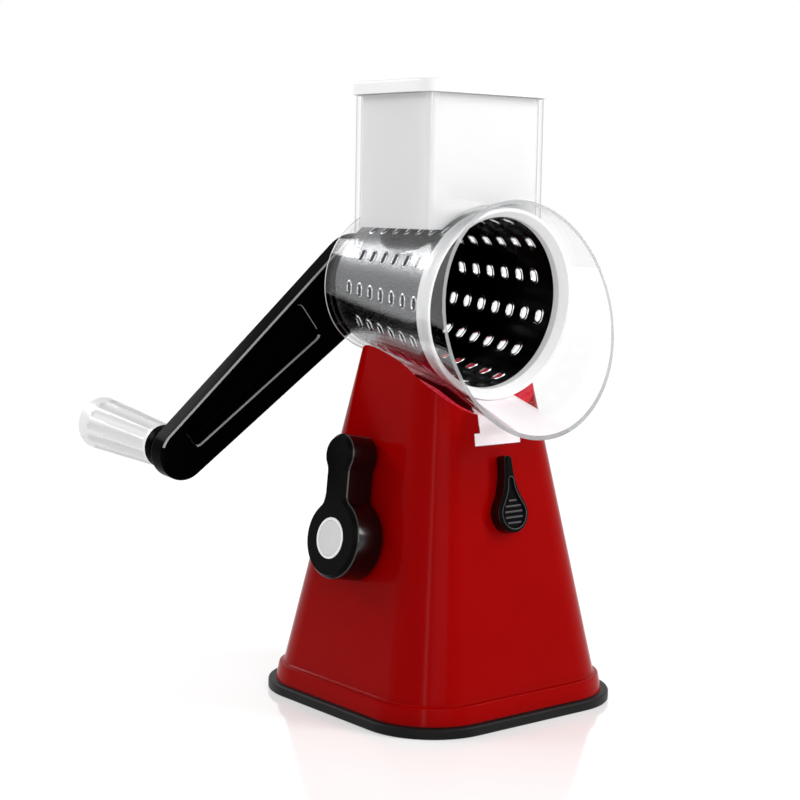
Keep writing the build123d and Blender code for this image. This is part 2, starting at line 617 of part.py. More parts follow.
# ---- housing ------------------------------------------------------------------------------------
def make_housing():
    neck = upright_box(-NECK_HALF, NECK_HALF, slot_front, NECK_REAR, rail_top, AXIS_HEIGHT)
    neck += upright_box(-FOOT_RAIL_HALF, FOOT_RAIL_HALF, slot_front, rail_rear, rail_bottom, rail_top)
    neck = neck & tower_block(0, PAD_HEIGHT, AXIS_HEIGHT + 10)
    neck -= upright_box(-NECK_HALF + NECK_WALL, NECK_HALF - NECK_WALL, rail_front + 8, NECK_REAR + 5,
                        rail_top + NECK_WALL, AXIS_HEIGHT + 5)
    keel = drum_frame * upright_box(-NECK_HALF, NECK_HALF, -50, 0, KEEL_REAR, 0)
    keel = keel & cradle(-KEEL_DROP)
    keel -= drum_frame * upright_box(-NECK_HALF + NECK_WALL, NECK_HALF - NECK_WALL, -50, 0,
                                     KEEL_REAR + NECK_WALL, 5)
    barrel = housing_turned(0, BARREL_REAR)
    hopper = Pos(0, HOPPER_CENTRE_Y, AXIS_HEIGHT) * extrude(
        RectangleRounded(2 * HOPPER_HALF_X, 2 * HOPPER_HALF_Y, HOPPER_RADIUS), HOPPER_TOP - AXIS_HEIGHT)
    hollow = housing_turned(CLEAR_WALL, BARREL_REAR + CLEAR_WALL)
    hole = Pos(0, HOPPER_CENTRE_Y, AXIS_HEIGHT) * extrude(
        RectangleRounded(2 * (HOPPER_HALF_X - HOPPER_WALL), 2 * (HOPPER_HALF_Y - HOPPER_WALL),
                         HOPPER_RADIUS - HOPPER_WALL), HOPPER_TOP - AXIS_HEIGHT + 1)
    rim_plane = Plane(origin=(0, RIM_CENTRE_Y, RIM_CENTRE_Z), x_dir=(1, 0, 0),
                      z_dir=(0, -cos(radians(RIM_LEAN)), sin(radians(RIM_LEAN)))).location
    beyond = rim_plane * (Pos(0, 0, 50) * Box(200, 200, 100))
    housing = barrel + hopper + neck + keel - hollow - hole - beyond
    housing += drum_frame * rod(BUSH_FLANGE_RADIUS, BARREL_REAR + CLEAR_WALL - 0.5,
                                BARREL_REAR + CLEAR_WALL + BUSH_BOSS)
    housing -= drum_frame * rod(BUSH_RADIUS, BARREL_REAR - 1, BARREL_REAR + CLEAR_WALL + BUSH_BOSS + 1)
    # notch that the catch's bolt rises into
    notch = upright_box(-BOLT_HALF - 2 * SLIDE_GAP, BOLT_HALF + 2 * SLIDE_GAP, bolt_top - 3,
                        bolt_top + CATCH_TRAVEL + 1, -WALL - SLIDER_THICKNESS - 4 * SLIDE_GAP, -WALL + 0.3)
    return housing - catch_frame * notch


def make_rear_bush():
    bush = rod(BUSH_RADIUS - 0.02, BARREL_REAR, BARREL_REAR + CLEAR_WALL + BUSH_BOSS + 0.4)
    bush += rod(BUSH_FLANGE_RADIUS, BARREL_REAR - BUSH_FLANGE, BARREL_REAR)
    return drum_frame * (bush - rod(SHAFT_RADIUS + RUN_FIT, BARREL_REAR - 5, BARREL_REAR + 10))


# ---- drum ---------------------------------------------------------------------------------------
def make_drum():
    shell = turned([(drum_radius(DRUM_REAR) - STEEL, DRUM_REAR), (drum_radius(DRUM_REAR), DRUM_REAR),
                    (drum_radius(DRUM_FRONT), DRUM_FRONT), (drum_radius(DRUM_FRONT) - STEEL, DRUM_FRONT)])
    punch = extrude(SlotOverall(HOLE_LONG, HOLE_WIDE), 12)
    holes = []
    for row in range(HOLE_ROWS):
        shift = row % 2
        angle = HOLE_ROW_ANGLE + row * 360 / HOLE_ROWS
        for i in range(HOLE_COUNT - shift):
            s = HOLE_FIRST + HOLE_PITCH * (i + shift / 2)
            place = Rot(0, 0, 90 - angle) * Pos(drum_radius(s) - 6, 0, s) * Rot(0, 90, 0)
            holes.append(place * Rot(0, 0, 90) * punch)
    return drum_frame * (shell - holes)


def make_ring():
    groove = DRUM_FRONT_RADIUS + 0.1
    ring = turned([(groove, RING_REAR), (RING_RADIUS, RING_REAR), (RING_RADIUS, RING_REAR + 3.5),
                   (RING_LIP_RADIUS, RING_FRONT - 1), (RING_LIP_RADIUS, RING_FRONT),
                   (RING_MOUTH_RADIUS, RING_FRONT), (RING_BORE, RING_FRONT - 4), (RING_BORE, DRUM_FRONT + 0.1),
                   (groove, DRUM_FRONT + 0.1)])
    return drum_frame * ring


def make_hub():
    radius = drum_radius(DRUM_REAR) - STEEL - 0.1
    hub = rod(radius, DRUM_REAR, DRUM_REAR + HUB_THICKNESS)
    hub += rod(HUB_SOCKET_RADIUS, DRUM_REAR, HUB_SOCKET_FRONT)
    hub -= square_rod(SHAFT_SQUARE + 2 * RUN_FIT, DRUM_REAR - 1, DRUM_REAR + SOCKET_DEPTH)
    return drum_frame * hub


# ---- crank --------------------------------------------------------------------------------------
def arm_outline(inset):
    """The arm's tapering bar, from the hub at the origin to the grip along -X."""
    big = ARM_HUB_RADIUS - inset
    small = ARM_TIP_RADIUS - inset
    rise = (big - small) / CRANK_LENGTH
    run = sqrt(1 - rise * rise)
    web = Polygon((-big * rise, big * run), (-CRANK_LENGTH - small * rise, small * run),
                  (-CRANK_LENGTH - small * rise, -small * run), (-big * rise, -big * run), align=None)
    return Circle(big) + web + Pos(-CRANK_LENGTH, 0) * Circle(small)


arm_turn = Rot(0, 0, CRANK_ANGLE)
arm_rear = ARM_FRONT - ARM_THICKNESS
grip_place = arm_turn * Pos(-CRANK_LENGTH, 0, 0)


def make_arm():
    body = Pos(0, 0, arm_rear) * extrude(arm_outline(0), ARM_THICKNESS)
    body = fillet(body.edges().group_by(Axis.Z)[0] + body.edges().group_by(Axis.Z)[-1], ARM_EDGE)
    strip = upright_box(-ARM_POCKET_END, -ARM_POCKET_START, -50, 50, arm_rear + ARM_FLOOR, 0)
    pocket = Pos(0, 0, arm_rear + ARM_FLOOR) * extrude(arm_outline(ARM_WALL), ARM_THICKNESS)
    pocket = pocket & strip
    pocket = fillet(pocket.edges().group_by(Axis.Z)[0], ARM_POCKET_EDGE)
    body -= pocket
    boss_front = BARREL_REAR - BUSH_FLANGE - ARM_BOSS_GAP
    body += turned([(0, ARM_FRONT - 1), (ARM_HUB_RADIUS - ARM_EDGE, ARM_FRONT - 1),
                    (ARM_HUB_RADIUS - ARM_EDGE, ARM_FRONT), (ARM_BOSS_RADIUS, boss_front), (0, boss_front)])
    body -= rod(SHAFT_RADIUS, ARM_FRONT - SHAFT_TAIL, boss_front + 1)
    body -= rod(SCREW_RADIUS + 0.6, arm_rear - 1, ARM_FRONT)
    body -= rod(5.4, arm_rear - 1, arm_rear + SCREW_HEAD_HEIGHT)
    body -= Pos(-CRANK_LENGTH, 0, 0) * rod(AXLE_RADIUS, arm_rear - 1, ARM_FRONT - AXLE_SEAT)
    return drum_frame * (arm_turn * body)


def make_drive_shaft():
    tail = ARM_FRONT - SHAFT_TAIL
    square_start = BARREL_REAR + CLEAR_WALL + BUSH_BOSS
    shaft = rod(SHAFT_RADIUS - 0.01, tail, square_start)
    shaft += square_rod(SHAFT_SQUARE, square_start - 1, DRUM_REAR + SOCKET_DEPTH - 0.5)
    return drum_frame * (shaft - rod(2.05, tail - 1, tail + 12))


def make_crank_screw():
    screw = pan_screw(5.2, SCREW_HEAD_HEIGHT - 0.4, 2.0, ARM_THICKNESS - 2)
    return drum_frame * (Pos(0, 0, arm_rear + SCREW_HEAD_HEIGHT) * screw)


grip_end = GRIP_START - GRIP_LENGTH
axle_end = grip_end + AXLE_INSET


def make_axle():
    axle = rod(AXLE_RADIUS - 0.01, axle_end, ARM_FRONT - AXLE_SEAT)
    axle -= rod(1.55, axle_end - 1, axle_end + 12)
    return drum_frame * (grip_place * axle)


def make_collar():
    return drum_frame * (grip_place * tube(COLLAR_RADIUS, AXLE_RADIUS + 0.05, GRIP_START + SLIDE_GAP, arm_rear))


def make_grip():
    body = turned([(0, GRIP_START), (GRIP_NARROW_RADIUS - 1, GRIP_START), (GRIP_NARROW_RADIUS, GRIP_START - 1),
                   (GRIP_WIDE_RADIUS, grip_end), (0, grip_end)])
    dome = Pos(0, 0, grip_end) * scale(Sphere(GRIP_WIDE_RADIUS), by=(1, 1, GRIP_DOME / GRIP_WIDE_RADIUS))
    body += dome & rod(GRIP_WIDE_RADIUS + 1, grip_end - GRIP_DOME - 1, grip_end + 0.5)
    taper = degrees(atan((GRIP_WIDE_RADIUS - GRIP_NARROW_RADIUS) / (GRIP_LENGTH - 1)))
    flute = Rot(0, taper, 0) * Pos(FLUTE_RADIUS - FLUTE_DEPTH, 0, -FLUTE_START - FLUTE_LENGTH / 2)
    flute = flute * Cylinder(FLUTE_RADIUS, FLUTE_LENGTH)
    flute = Pos(GRIP_NARROW_RADIUS, 0, GRIP_START) * flute
    for i in range(GRIP_FLUTES):
        body -= Rot(0, 0, (i + 0.5) * 360 / GRIP_FLUTES) * flute
    body -= rod(AXLE_RADIUS + RUN_FIT, grip_end - 10, GRIP_START + 1)
    body -= rod(CAP_RADIUS - 0.8, grip_end - 10, axle_end + SLIDE_GAP)
    body -= rod(CAP_RADIUS + 0.02, grip_end - 10, grip_end + CAP_DEPTH)
    return drum_frame * (grip_place * body)


def make_grip_cap():
    cap = rod(CAP_RADIUS, grip_end - GRIP_DOME - 1, grip_end + CAP_DEPTH)
    dome = Pos(0, 0, grip_end) * scale(Sphere(GRIP_WIDE_RADIUS), by=(1, 1, GRIP_DOME / GRIP_WIDE_RADIUS))
    return drum_frame * (grip_place * (cap & (dome + rod(CAP_RADIUS, grip_end, grip_end + CAP_DEPTH))))


def make_grip_screw():
    return drum_frame * (grip_place * (Pos(0, 0, axle_end) * pan_screw(5.6, 1.8, 1.5, 10)))


# ---- pusher -------------------------------------------------------------------------------------
def drum_room(extra):
    return drum_frame * turned([(0, -70), (drum_radius(-70) + extra, -70), (drum_radius(70) + extra, 70),
                                (0, 70)])


def pusher_block(inset, low, high):
    half_x = HOPPER_HALF_X - HOPPER_WALL - PUSHER_GAP - inset
    half_y = HOPPER_HALF_Y - HOPPER_WALL - PUSHER_GAP - inset
    radius = HOPPER_RADIUS - HOPPER_WALL - PUSHER_GAP - inset
    return Pos(0, HOPPER_CENTRE_Y, low) * extrude(RectangleRounded(2 * half_x, 2 * half_y, radius), high - low)


lid_low = HOPPER_TOP + SEAT_GAP


def make_pusher():
    body = pusher_block(0, PUSHER_BOTTOM, lid_low) - drum_room(DRUM_CLEARANCE)
    hollow = pusher_block(PUSHER_WALL, PUSHER_BOTTOM + PUSHER_WALL, lid_low + 1)
    return body - (hollow - drum_room(DRUM_CLEARANCE + PUSHER_WALL))


def make_lid():
    half_x = HOPPER_HALF_X + LID_OVERHANG
    half_y = HOPPER_HALF_Y + LID_OVERHANG
    lid = Pos(0, HOPPER_CENTRE_Y, lid_low) * extrude(
        RectangleRounded(2 * half_x, 2 * half_y, HOPPER_RADIUS + LID_OVERHANG), LID_HEIGHT)
    lid = fillet(lid.edges().group_by(Axis.Z)[-1], LID_EDGE)
    dish = Pos(0, HOPPER_CENTRE_Y, lid_low + LID_HEIGHT - LID_DISH) * extrude(
        RectangleRounded(2 * half_x - 8, 2 * half_y - 8, HOPPER_RADIUS - 2), LID_DISH + 1)
    return lid - dish


pieces = {
    "tower_shell": make_tower(),
    "suction_pad": make_pad(),
    "base_plate": make_plate(),
    "base_screws": make_base_screws(),
    "stem_guide": make_guide(),
    "guide_screws": make_guide_screws(),
    "shaft_bush": make_shaft_bush(),
    "pad_centre": rod(LIFT_RADIUS, PAD_RECESS_DEPTH + 1.2, PAD_HEIGHT),
    "pad_membrane": make_membrane(),
    "lift_plate": rod(LIFT_RADIUS, PAD_HEIGHT, PAD_HEIGHT + LIFT_HEIGHT),
    "suction_stem": make_stem(),
    "lift_yoke": make_yoke(),
    "stem_spring": make_spring(SPRING_RADIUS, SPRING_WIRE, STEM_SHOULDER_Z + STEM_SHOULDER, GUIDE_Z,
                               SPRING_TURNS),
    "release_button": make_button(),
    "catch_slider": make_slider(),
    "catch_screw": make_catch_screw(),
    "suction_lever": make_lever(),
    "lever_cap": make_lever_cap(),
    "lever_ring": make_lever_ring(),
    "lever_screw": make_lever_screw(),
    "cam_shaft": make_camshaft(),
    "lift_cam": make_cam(),
    "cam_screw": make_cam_screw(),
    "drum_housing": make_housing(),
    "rear_bush": make_rear_bush(),
    "drum_shell": make_drum(),
    "drum_front_ring": make_ring(),
    "drum_hub": make_hub(),
    "crank_arm": make_arm(),
    "drive_shaft": make_drive_shaft(),
    "crank_screw": make_crank_screw(),
    "grip_axle": make_axle(),
    "grip_collar": make_collar(),
    "grip_screw": make_grip_screw(),
    "crank_grip": make_grip(),
    "grip_cap": make_grip_cap(),
    "pusher_body": make_pusher(),
    "pusher_lid": make_lid(),
}

for node, shape in pieces.items():
    write(shape, node)

print("cam axis height", round(cam_z, 2), "stem travel", round(stem_travel, 3),
      "metres per radian", round(stem_travel / 1000 / (LEVER_TRAVEL * pi / 180), 6))
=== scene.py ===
from math import asin, atan2, cos, degrees, pi, radians, sin, sqrt

import bmesh
import bpy
from mathutils import Matrix, Vector


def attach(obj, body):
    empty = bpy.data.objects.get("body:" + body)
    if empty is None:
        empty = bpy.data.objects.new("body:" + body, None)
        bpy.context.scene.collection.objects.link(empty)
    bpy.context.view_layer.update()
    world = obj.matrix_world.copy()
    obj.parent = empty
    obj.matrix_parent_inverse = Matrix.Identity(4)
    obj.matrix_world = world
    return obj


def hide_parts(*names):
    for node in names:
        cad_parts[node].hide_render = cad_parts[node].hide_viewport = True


# Rotary drum shredder. Shapes are worked out in millimetres and scaled to metres when a piece is finished.
# The horn points to -Y, the crank is at +Y and the suction lever is on the -X side.
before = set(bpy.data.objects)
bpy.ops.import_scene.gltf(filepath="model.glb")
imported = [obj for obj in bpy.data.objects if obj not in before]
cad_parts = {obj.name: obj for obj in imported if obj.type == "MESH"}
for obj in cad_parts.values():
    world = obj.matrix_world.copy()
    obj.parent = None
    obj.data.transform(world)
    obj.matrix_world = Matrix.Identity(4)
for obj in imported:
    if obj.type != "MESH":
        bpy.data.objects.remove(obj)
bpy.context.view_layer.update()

# ---- frames that several pieces share
axis = {"height": 188.2, "tilt": 4.6}
taper = {"low": 18.0, "high": 150.0, "lowHalf": 58.0, "highHalf": 33.6, "lowCorner": 24.0, "highCorner": 16.0}
places = {"lever": 59.7, "catch": 91.3, "arm": 39.98}   # up the sloping wall, height, and degrees from the side
taperHigh = taper["high"] - taper["low"]
wallSlope = (taper["lowHalf"] - taper["highHalf"]) / taperHigh
leanCos = 1 / sqrt(1 + wallSlope ** 2)
leanSin = wallSlope * leanCos


def halfAt(level):
    return taper["lowHalf"] - (level - taper["low"]) * wallSlope


def cornerAt(level):
    return taper["lowCorner"] - (level - taper["low"]) * (taper["lowCorner"] - taper["highCorner"]) / taperHigh


def frameOf(origin, x, y, z):
    turn = Matrix((x, y, z)).transposed().to_4x4()
    return Matrix.Translation(origin) @ turn


tiltSin, tiltCos = sin(radians(axis["tilt"])), cos(radians(axis["tilt"]))
drumFrame = frameOf((0, 0, axis["height"]), (1, 0, 0), (0, -tiltSin, tiltCos), (0, -tiltCos, -tiltSin))
leverUp = taper["low"] + places["lever"] * leanCos
leverFrame = frameOf((-halfAt(leverUp), 0, leverUp), (0, 1, 0), (leanSin, 0, leanCos), (leanCos, 0, -leanSin))
catchUp = places["catch"]
catchFrame = frameOf((0, -halfAt(catchUp), catchUp), (1, 0, 0), (0, leanSin, leanCos), (0, -leanCos, leanSin))
armTurn = Matrix.Rotation(radians(places["arm"]), 4, "Z")


# ---- modelling helpers
def only(piece):
    bpy.ops.object.select_all(action="DESELECT")
    piece.select_set(True)
    bpy.context.view_layer.objects.active = piece


def editing(piece, start="DESELECT"):
    only(piece)
    bpy.ops.object.mode_set(mode="EDIT")
    bpy.ops.mesh.select_mode(type="VERT")
    bpy.ops.mesh.select_all(action=start)


def leaving():
    bpy.ops.object.mode_set(mode="OBJECT")


def pull(piece, ring):
    # moves the newest ring of points to its outline
    shape = bmesh.from_edit_mesh(piece.data)
    place = shape.verts.layers.int["place"]
    for vert in shape.verts:
        if vert.select:
            vert.co = ring[vert[place]]
    bmesh.update_edit_mesh(piece.data)


def lofted(name, rings, solid=True):
    # a circle, extruded outline by outline; a loop of outlines is closed where the last meets the first
    bpy.ops.object.select_all(action="DESELECT")
    bpy.ops.mesh.primitive_circle_add(vertices=len(rings[0]), radius=1, fill_type="NGON" if solid else "NOTHING")
    piece = bpy.context.object
    piece.name = piece.data.name = name
    numbers = piece.data.attributes.new("place", "INT", "POINT")
    for i in range(len(rings[0])):
        numbers.data[i].value = i
    editing(piece, "SELECT")
    pull(piece, rings[0])
    for ring in rings[1:]:
        bpy.ops.mesh.extrude_region()
        pull(piece, ring)
    bpy.ops.mesh.select_all(action="SELECT")
    bpy.ops.mesh.remove_doubles(threshold=0.0005)
    bpy.ops.mesh.normals_make_consistent(inside=False)
    leaving()
    piece.data.attributes.remove(piece.data.attributes["place"])
    return piece


def roundRing(radius, level, steps=96):
    return [Vector((radius * cos(2 * pi * i / steps), radius * sin(2 * pi * i / steps), level)) for i in range(steps)]


def turned(name, profile, steps=96, loop=False):
    # a lathe shape from (radius, level) points
    rings = [roundRing(radius, level, steps) for radius, level in profile]
    return lofted(name, rings + rings[:1], solid=False) if loop else lofted(name, rings)


def squareRing(halfX, halfY, radius, level, middle=0.0, perCorner=12):
    ring = []
    for signX, signY, start in ((1, 1, 0), (-1, 1, 90), (-1, -1, 180), (1, -1, 270)):
        for i in range(perCorner + 1):
            turn = radians(start + 90 * i / perCorner)
            ring.append(Vector((signX * (halfX - radius) + radius * cos(turn),
                                middle + signY * (halfY - radius) + radius * sin(turn), level)))
    return ring


def edged(outline, low, high, lowEdge, highEdge, steps=4):
    # outlines from low to high whose ends are rounded over by their edge sizes
    levels = [(lowEdge * (1 - sin(pi / 2 * i / steps)), low + lowEdge * (1 - cos(pi / 2 * i / steps)))
              for i in range(steps + 1)] if lowEdge else [(0, low)]
    levels += [(highEdge * (1 - cos(pi / 2 * i / steps)), high - highEdge * (1 - sin(pi / 2 * i / steps)))
               for i in range(steps + 1)] if highEdge else [(0, high)]
    return [outline(inset, level) for inset, level in levels]


def block(low, high):
    middle = [(a + b) / 2 for a, b in zip(low, high)]
    size = [b - a for a, b in zip(low, high)]
    bpy.ops.object.select_all(action="DESELECT")
    bpy.ops.mesh.primitive_cube_add(size=1, location=middle)
    piece = bpy.context.object
    bpy.ops.object.transform_apply(location=True)
    editing(piece, "SELECT")
    bpy.ops.transform.resize(value=size, center_override=middle)
    leaving()
    return piece


def rod(radius, low, high, x=0.0, y=0.0, steps=64):
    bpy.ops.object.select_all(action="DESELECT")
    bpy.ops.mesh.primitive_cylinder_add(vertices=steps, radius=radius, depth=high - low,
                                        location=(x, y, (low + high) / 2))
    bpy.ops.object.transform_apply(location=True)
    return bpy.context.object


def moved(piece, *turns):
    for turn in turns:
        piece.data.transform(turn)
    return piece


def combined(piece, tool, how="DIFFERENCE"):
    only(piece)
    change = piece.modifiers.new("combined", "BOOLEAN")
    change.operation, change.object, change.solver = how, tool, "EXACT"
    bpy.ops.object.modifier_apply(modifier=change.name)
    bpy.data.objects.remove(tool)
    return piece


def joined(pieces):
    bpy.ops.object.select_all(action="DESELECT")
    for piece in pieces:
        piece.select_set(True)
    bpy.context.view_layer.objects.active = pieces[0]
    bpy.ops.object.join()
    return bpy.context.object


def softened(piece, width, angle=35, segments=2):
    only(piece)
    change = piece.modifiers.new("softened", "BEVEL")
    change.width, change.segments, change.limit_method = width, segments, "ANGLE"
    change.angle_limit, change.use_clamp_overlap = radians(angle), True
    bpy.ops.object.modifier_apply(modifier=change.name)
    return piece


def cleaned(piece, distance=0.02):
    editing(piece, "SELECT")
    bpy.ops.mesh.remove_doubles(threshold=distance)
    bpy.ops.mesh.dissolve_degenerate(threshold=distance)
    leaving()
    return piece


def finished(piece, name, body, materials, nodes, angle=32):
    piece.name = piece.data.name = name
    piece.data.transform(Matrix.Scale(0.001, 4))
    only(piece)
    bpy.ops.object.shade_smooth_by_angle(angle=radians(angle))
    even = piece.modifiers.new("even", "WEIGHTED_NORMAL")
    even.keep_sharp = True
    for material in materials:
        piece.data.materials.append(material)
    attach(piece, body)
    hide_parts(*nodes)
    return piece


def painted(piece, faces, slot):
    for index in faces:
        piece.data.polygons[index].material_index = slot
    return piece


# ---- materials
def hexColour(text):
    parts = [int(text[i:i + 2], 16) / 255 for i in (1, 3, 5)]
    return [part / 12.92 if part <= 0.04045 else ((part + 0.055) / 1.055) ** 2.4 for part in parts] + [1.0]


def addNode(tree, kind, settings=None, links=None):
    node = tree.nodes.new(kind)
    for key, value in (settings or {}).items():
        if isinstance(key, str) and key not in node.inputs:
            setattr(node, key, value)
        else:
            node.inputs[key].default_value = value
    for key, source in (links or {}).items():
        tree.links.new(source, node.inputs[key])
    return node


def blankMaterial(name):
    material = bpy.data.materials.new(name)
    material.use_nodes = True
    material.node_tree.nodes.clear()
    return material, material.node_tree


def objectPlace(tree):
    return addNode(tree, "ShaderNodeTexCoord").outputs["Object"]


def noise(tree, millimetres, detail, place):
    settings = {"Scale": 1000.0 / millimetres, "Detail": detail}
    return addNode(tree, "ShaderNodeTexNoise", settings, {"Vector": place}).outputs["Fac"]


def between(tree, first, second, source):
    settings = {"data_type": "RGBA", 6: hexColour(first), 7: hexColour(second)}
    return addNode(tree, "ShaderNodeMix", settings, {0: source}).outputs[2]


def spread(tree, low, high, source):
    return addNode(tree, "ShaderNodeMapRange", {"To Min": low, "To Max": high}, {"Value": source}).outputs["Result"]


def bumped(tree, strength, distance, source):
    settings = {"Strength": strength, "Distance": distance}
    return addNode(tree, "ShaderNodeBump", settings, {"Height": source}).outputs["Normal"]


def shown(material, tree, shader):
    addNode(tree, "ShaderNodeOutputMaterial", {}, {"Surface": shader.outputs[0]})
    return material


def mouldedPlastic(name, look):
    # the mould's polish gives a slow ripple, the resin a fine unevenness in gloss and tone
    material, tree = blankMaterial(name)
    place = objectPlace(tree)
    ripple = noise(tree, look["ripple"], 2.0, place)
    grain = noise(tree, look["grain"], 3.0, place)
    shader = addNode(tree, "ShaderNodeBsdfPrincipled",
                     {"Specular IOR Level": look["shine"], "Emission Strength": look.get("glow", 0.0),
                      "Emission Color": hexColour(look["colour"])},
                     {"Base Color": between(tree, look["colour"], look["shade"], ripple),
                      "Roughness": spread(tree, *look["rough"], grain),
                      "Normal": bumped(tree, look["relief"], 0.0004, grain)})
    return shown(material, tree, shader)


# Gloss ABS from a polished mould: deep even red with a clean soft highlight.
redAbs = mouldedPlastic("moulded gloss ABS, red", {
    "colour": "#960101", "shade": "#8F0101", "rough": (0.15, 0.19), "relief": 0.02,
    "ripple": 40.0, "grain": 3.0, "shine": 0.03})
# The same red on the saddle under the housing: painted light, a pinker tone with a glow that stands for light coming
# through the clear barrel.
saddleGlowAbs = mouldedPlastic("moulded gloss ABS, red, rubbed", {
    "colour": "#D01C34", "shade": "#C4142A", "rough": (0.24, 0.32), "relief": 0.03,
    "ripple": 20.0, "grain": 2.0, "shine": 0.3, "glow": 0.5})
# Gloss ABS again, black: nearly no colour of its own, only bands of light round its sides.
blackAbs = mouldedPlastic("moulded gloss ABS, black", {
    "colour": "#020202", "shade": "#040404", "rough": (0.12, 0.17), "relief": 0.02,
    "ripple": 30.0, "grain": 2.5, "shine": 0.5})
# The faces that fingers press are etched fine, so they stay black.
etchedAbs = mouldedPlastic("moulded ABS, black, fine etched", {
    "colour": "#030303", "shade": "#050505", "rough": (0.24, 0.3), "relief": 0.04,
    "ripple": 30.0, "grain": 1.0, "shine": 0.03})
# The slider's bead and ribs: a grey that is a painted highlight along them.
ribHighlightAbs = mouldedPlastic("moulded ABS, black, painted rib highlight", {
    "colour": "#38343A", "shade": "#2E2B30", "rough": (0.3, 0.4), "relief": 0.04,
    "ripple": 10.0, "grain": 0.8, "shine": 0.3})
# Glass-filled nylon, finely eroded mould: black, a little softer in its highlights.
blackNylon = mouldedPlastic("moulded nylon, black satin", {
    "colour": "#020202", "shade": "#040404", "rough": (0.16, 0.22), "relief": 0.03,
    "ripple": 20.0, "grain": 1.2, "shine": 0.01})
# The same nylon along the arm's upper front edge and the pocket's lower lip: a thin grey line that is a painted
# highlight.
edgeHighlightNylon = mouldedPlastic("moulded nylon, painted edge highlight", {
    "colour": "#A9ABAC", "shade": "#8E9092", "rough": (0.2, 0.28), "relief": 0.03,
    "ripple": 14.0, "grain": 0.9, "shine": 0.5})
# Moulded nitrile rubber: black and matt, takes a broad dull sheen.
blackRubber = mouldedPlastic("moulded nitrile rubber", {
    "colour": "#060606", "shade": "#0B0B0B", "rough": (0.4, 0.52), "relief": 0.1,
    "ripple": 18.0, "grain": 0.8, "shine": 0.12})
# Polypropylene lid and drum ring: milky white with a soft sheen.
whitePlastic = mouldedPlastic("moulded polypropylene, white", {
    "colour": "#FAFAFB", "shade": "#F4F4F5", "rough": (0.26, 0.34), "relief": 0.04,
    "ripple": 25.0, "grain": 1.6, "shine": 0.4})
# The grip's grooves, left satin by the mould; their greyer colour is painted shade in the flutes.
grooveShadePlastic = mouldedPlastic("moulded polypropylene, satin groove, painted shade", {
    "colour": "#E2E2E3", "shade": "#DCDCDD", "rough": (0.4, 0.5), "relief": 0.05,
    "ripple": 25.0, "grain": 1.2, "shine": 0.3})
gripPlastic = mouldedPlastic("moulded polypropylene, pale", {
    "colour": "#F2F2F3", "shade": "#ECECED", "rough": (0.24, 0.3), "relief": 0.03,
    "ripple": 25.0, "grain": 1.6, "shine": 0.4})
# The lever's insert: pale grey satin disc.
greyPlastic = mouldedPlastic("moulded ABS, pale grey", {
    "colour": "#DCDCDD", "shade": "#D4D5D6", "rough": (0.3, 0.4), "relief": 0.04,
    "ripple": 12.0, "grain": 1.2, "shine": 0.35})
# Acetal bushes and guides: off-white, waxy.
acetal = mouldedPlastic("moulded acetal, natural", {
    "colour": "#E6E4DD", "shade": "#DEDBD2", "rough": (0.3, 0.42), "relief": 0.05,
    "ripple": 15.0, "grain": 1.0, "shine": 0.4})


def clearStyrene(name, look):
    # walls are thin, so light goes straight through; the polished skin mirrors more at a low angle
    material, tree = blankMaterial(name)
    place = objectPlace(tree)
    facing = addNode(tree, "ShaderNodeLayerWeight", {"Blend": 0.5})
    steep = addNode(tree, "ShaderNodeMath", {"operation": "POWER", 1: look["edgePower"]},
                    {0: facing.outputs["Facing"]}).outputs[0]
    flow = noise(tree, look["flow"], 1.0, place)
    through = addNode(tree, "ShaderNodeBsdfTransparent", {},
                      {"Color": between(tree, look["through"], look["edge"], steep)})
    skin = addNode(tree, "ShaderNodeBsdfPrincipled",
                   {"Base Color": hexColour(look["skin"]), "Metallic": look["metal"], "Roughness": look["rough"],
                    "Emission Color": hexColour(look["skin"]), "Emission Strength": look["glow"]},
                   {"Normal": bumped(tree, 0.04, 0.001, flow)})
    mixed = addNode(tree, "ShaderNodeMixShader", {}, {0: spread(tree, *look["mirror"], steep), 1: through.outputs[0],
                                                      2: skin.outputs[0]})
    return shown(material, tree, mixed)


# Clear SAN from a mirror mould: nearly invisible face on, grey where the eye looks along the wall.
clearSan = clearStyrene("moulded SAN, clear", {
    "through": "#FFFFFF", "edge": "#7A8082", "edgePower": 5.0, "mirror": (0.03, 0.5), "skin": "#FFFFFF",
    "metal": 1.0, "rough": 0.05, "flow": 30.0, "glow": 0.0})
# The ends of the same walls, where light is caught inside them: pale grey, hardly clear.
clearRim = clearStyrene("moulded SAN, end of the wall", {
    "through": "#F0F0F0", "edge": "#A0A0A0", "edgePower": 1.5, "mirror": (0.6, 0.75), "skin": "#7E8082",
    "metal": 0.0, "rough": 0.2, "flow": 20.0, "glow": 0.0})
# Thick parts and tight bends of the moulding, which gather light: their milky white skin, pink tint and faint glow
# are painted light.
clearGlowThick = clearStyrene("moulded SAN, thick, painted glow", {
    "through": "#FFFFFF", "edge": "#F0F0F0", "edgePower": 2.0, "mirror": (0.8, 0.9), "skin": "#FAF4F6",
    "metal": 0.0, "rough": 0.25, "flow": 20.0, "glow": 0.15})


def frostedPlastic(name, look):
    # milky plastic: most light is scattered, a little shines through
    material, tree = blankMaterial(name)
    place = objectPlace(tree)
    tone = between(tree, look["colour"], look["shade"], noise(tree, look["cloud"], 2.0, place))
    body = addNode(tree, "ShaderNodeBsdfPrincipled", {"Roughness": look["rough"], "Specular IOR Level": 0.3},
                   {"Base Color": tone})
    glow = addNode(tree, "ShaderNodeBsdfTranslucent", {}, {"Color": tone})
    mixed = addNode(tree, "ShaderNodeMixShader", {0: look["glow"]}, {1: body.outputs[0], 2: glow.outputs[0]})
    return shown(material, tree, mixed)


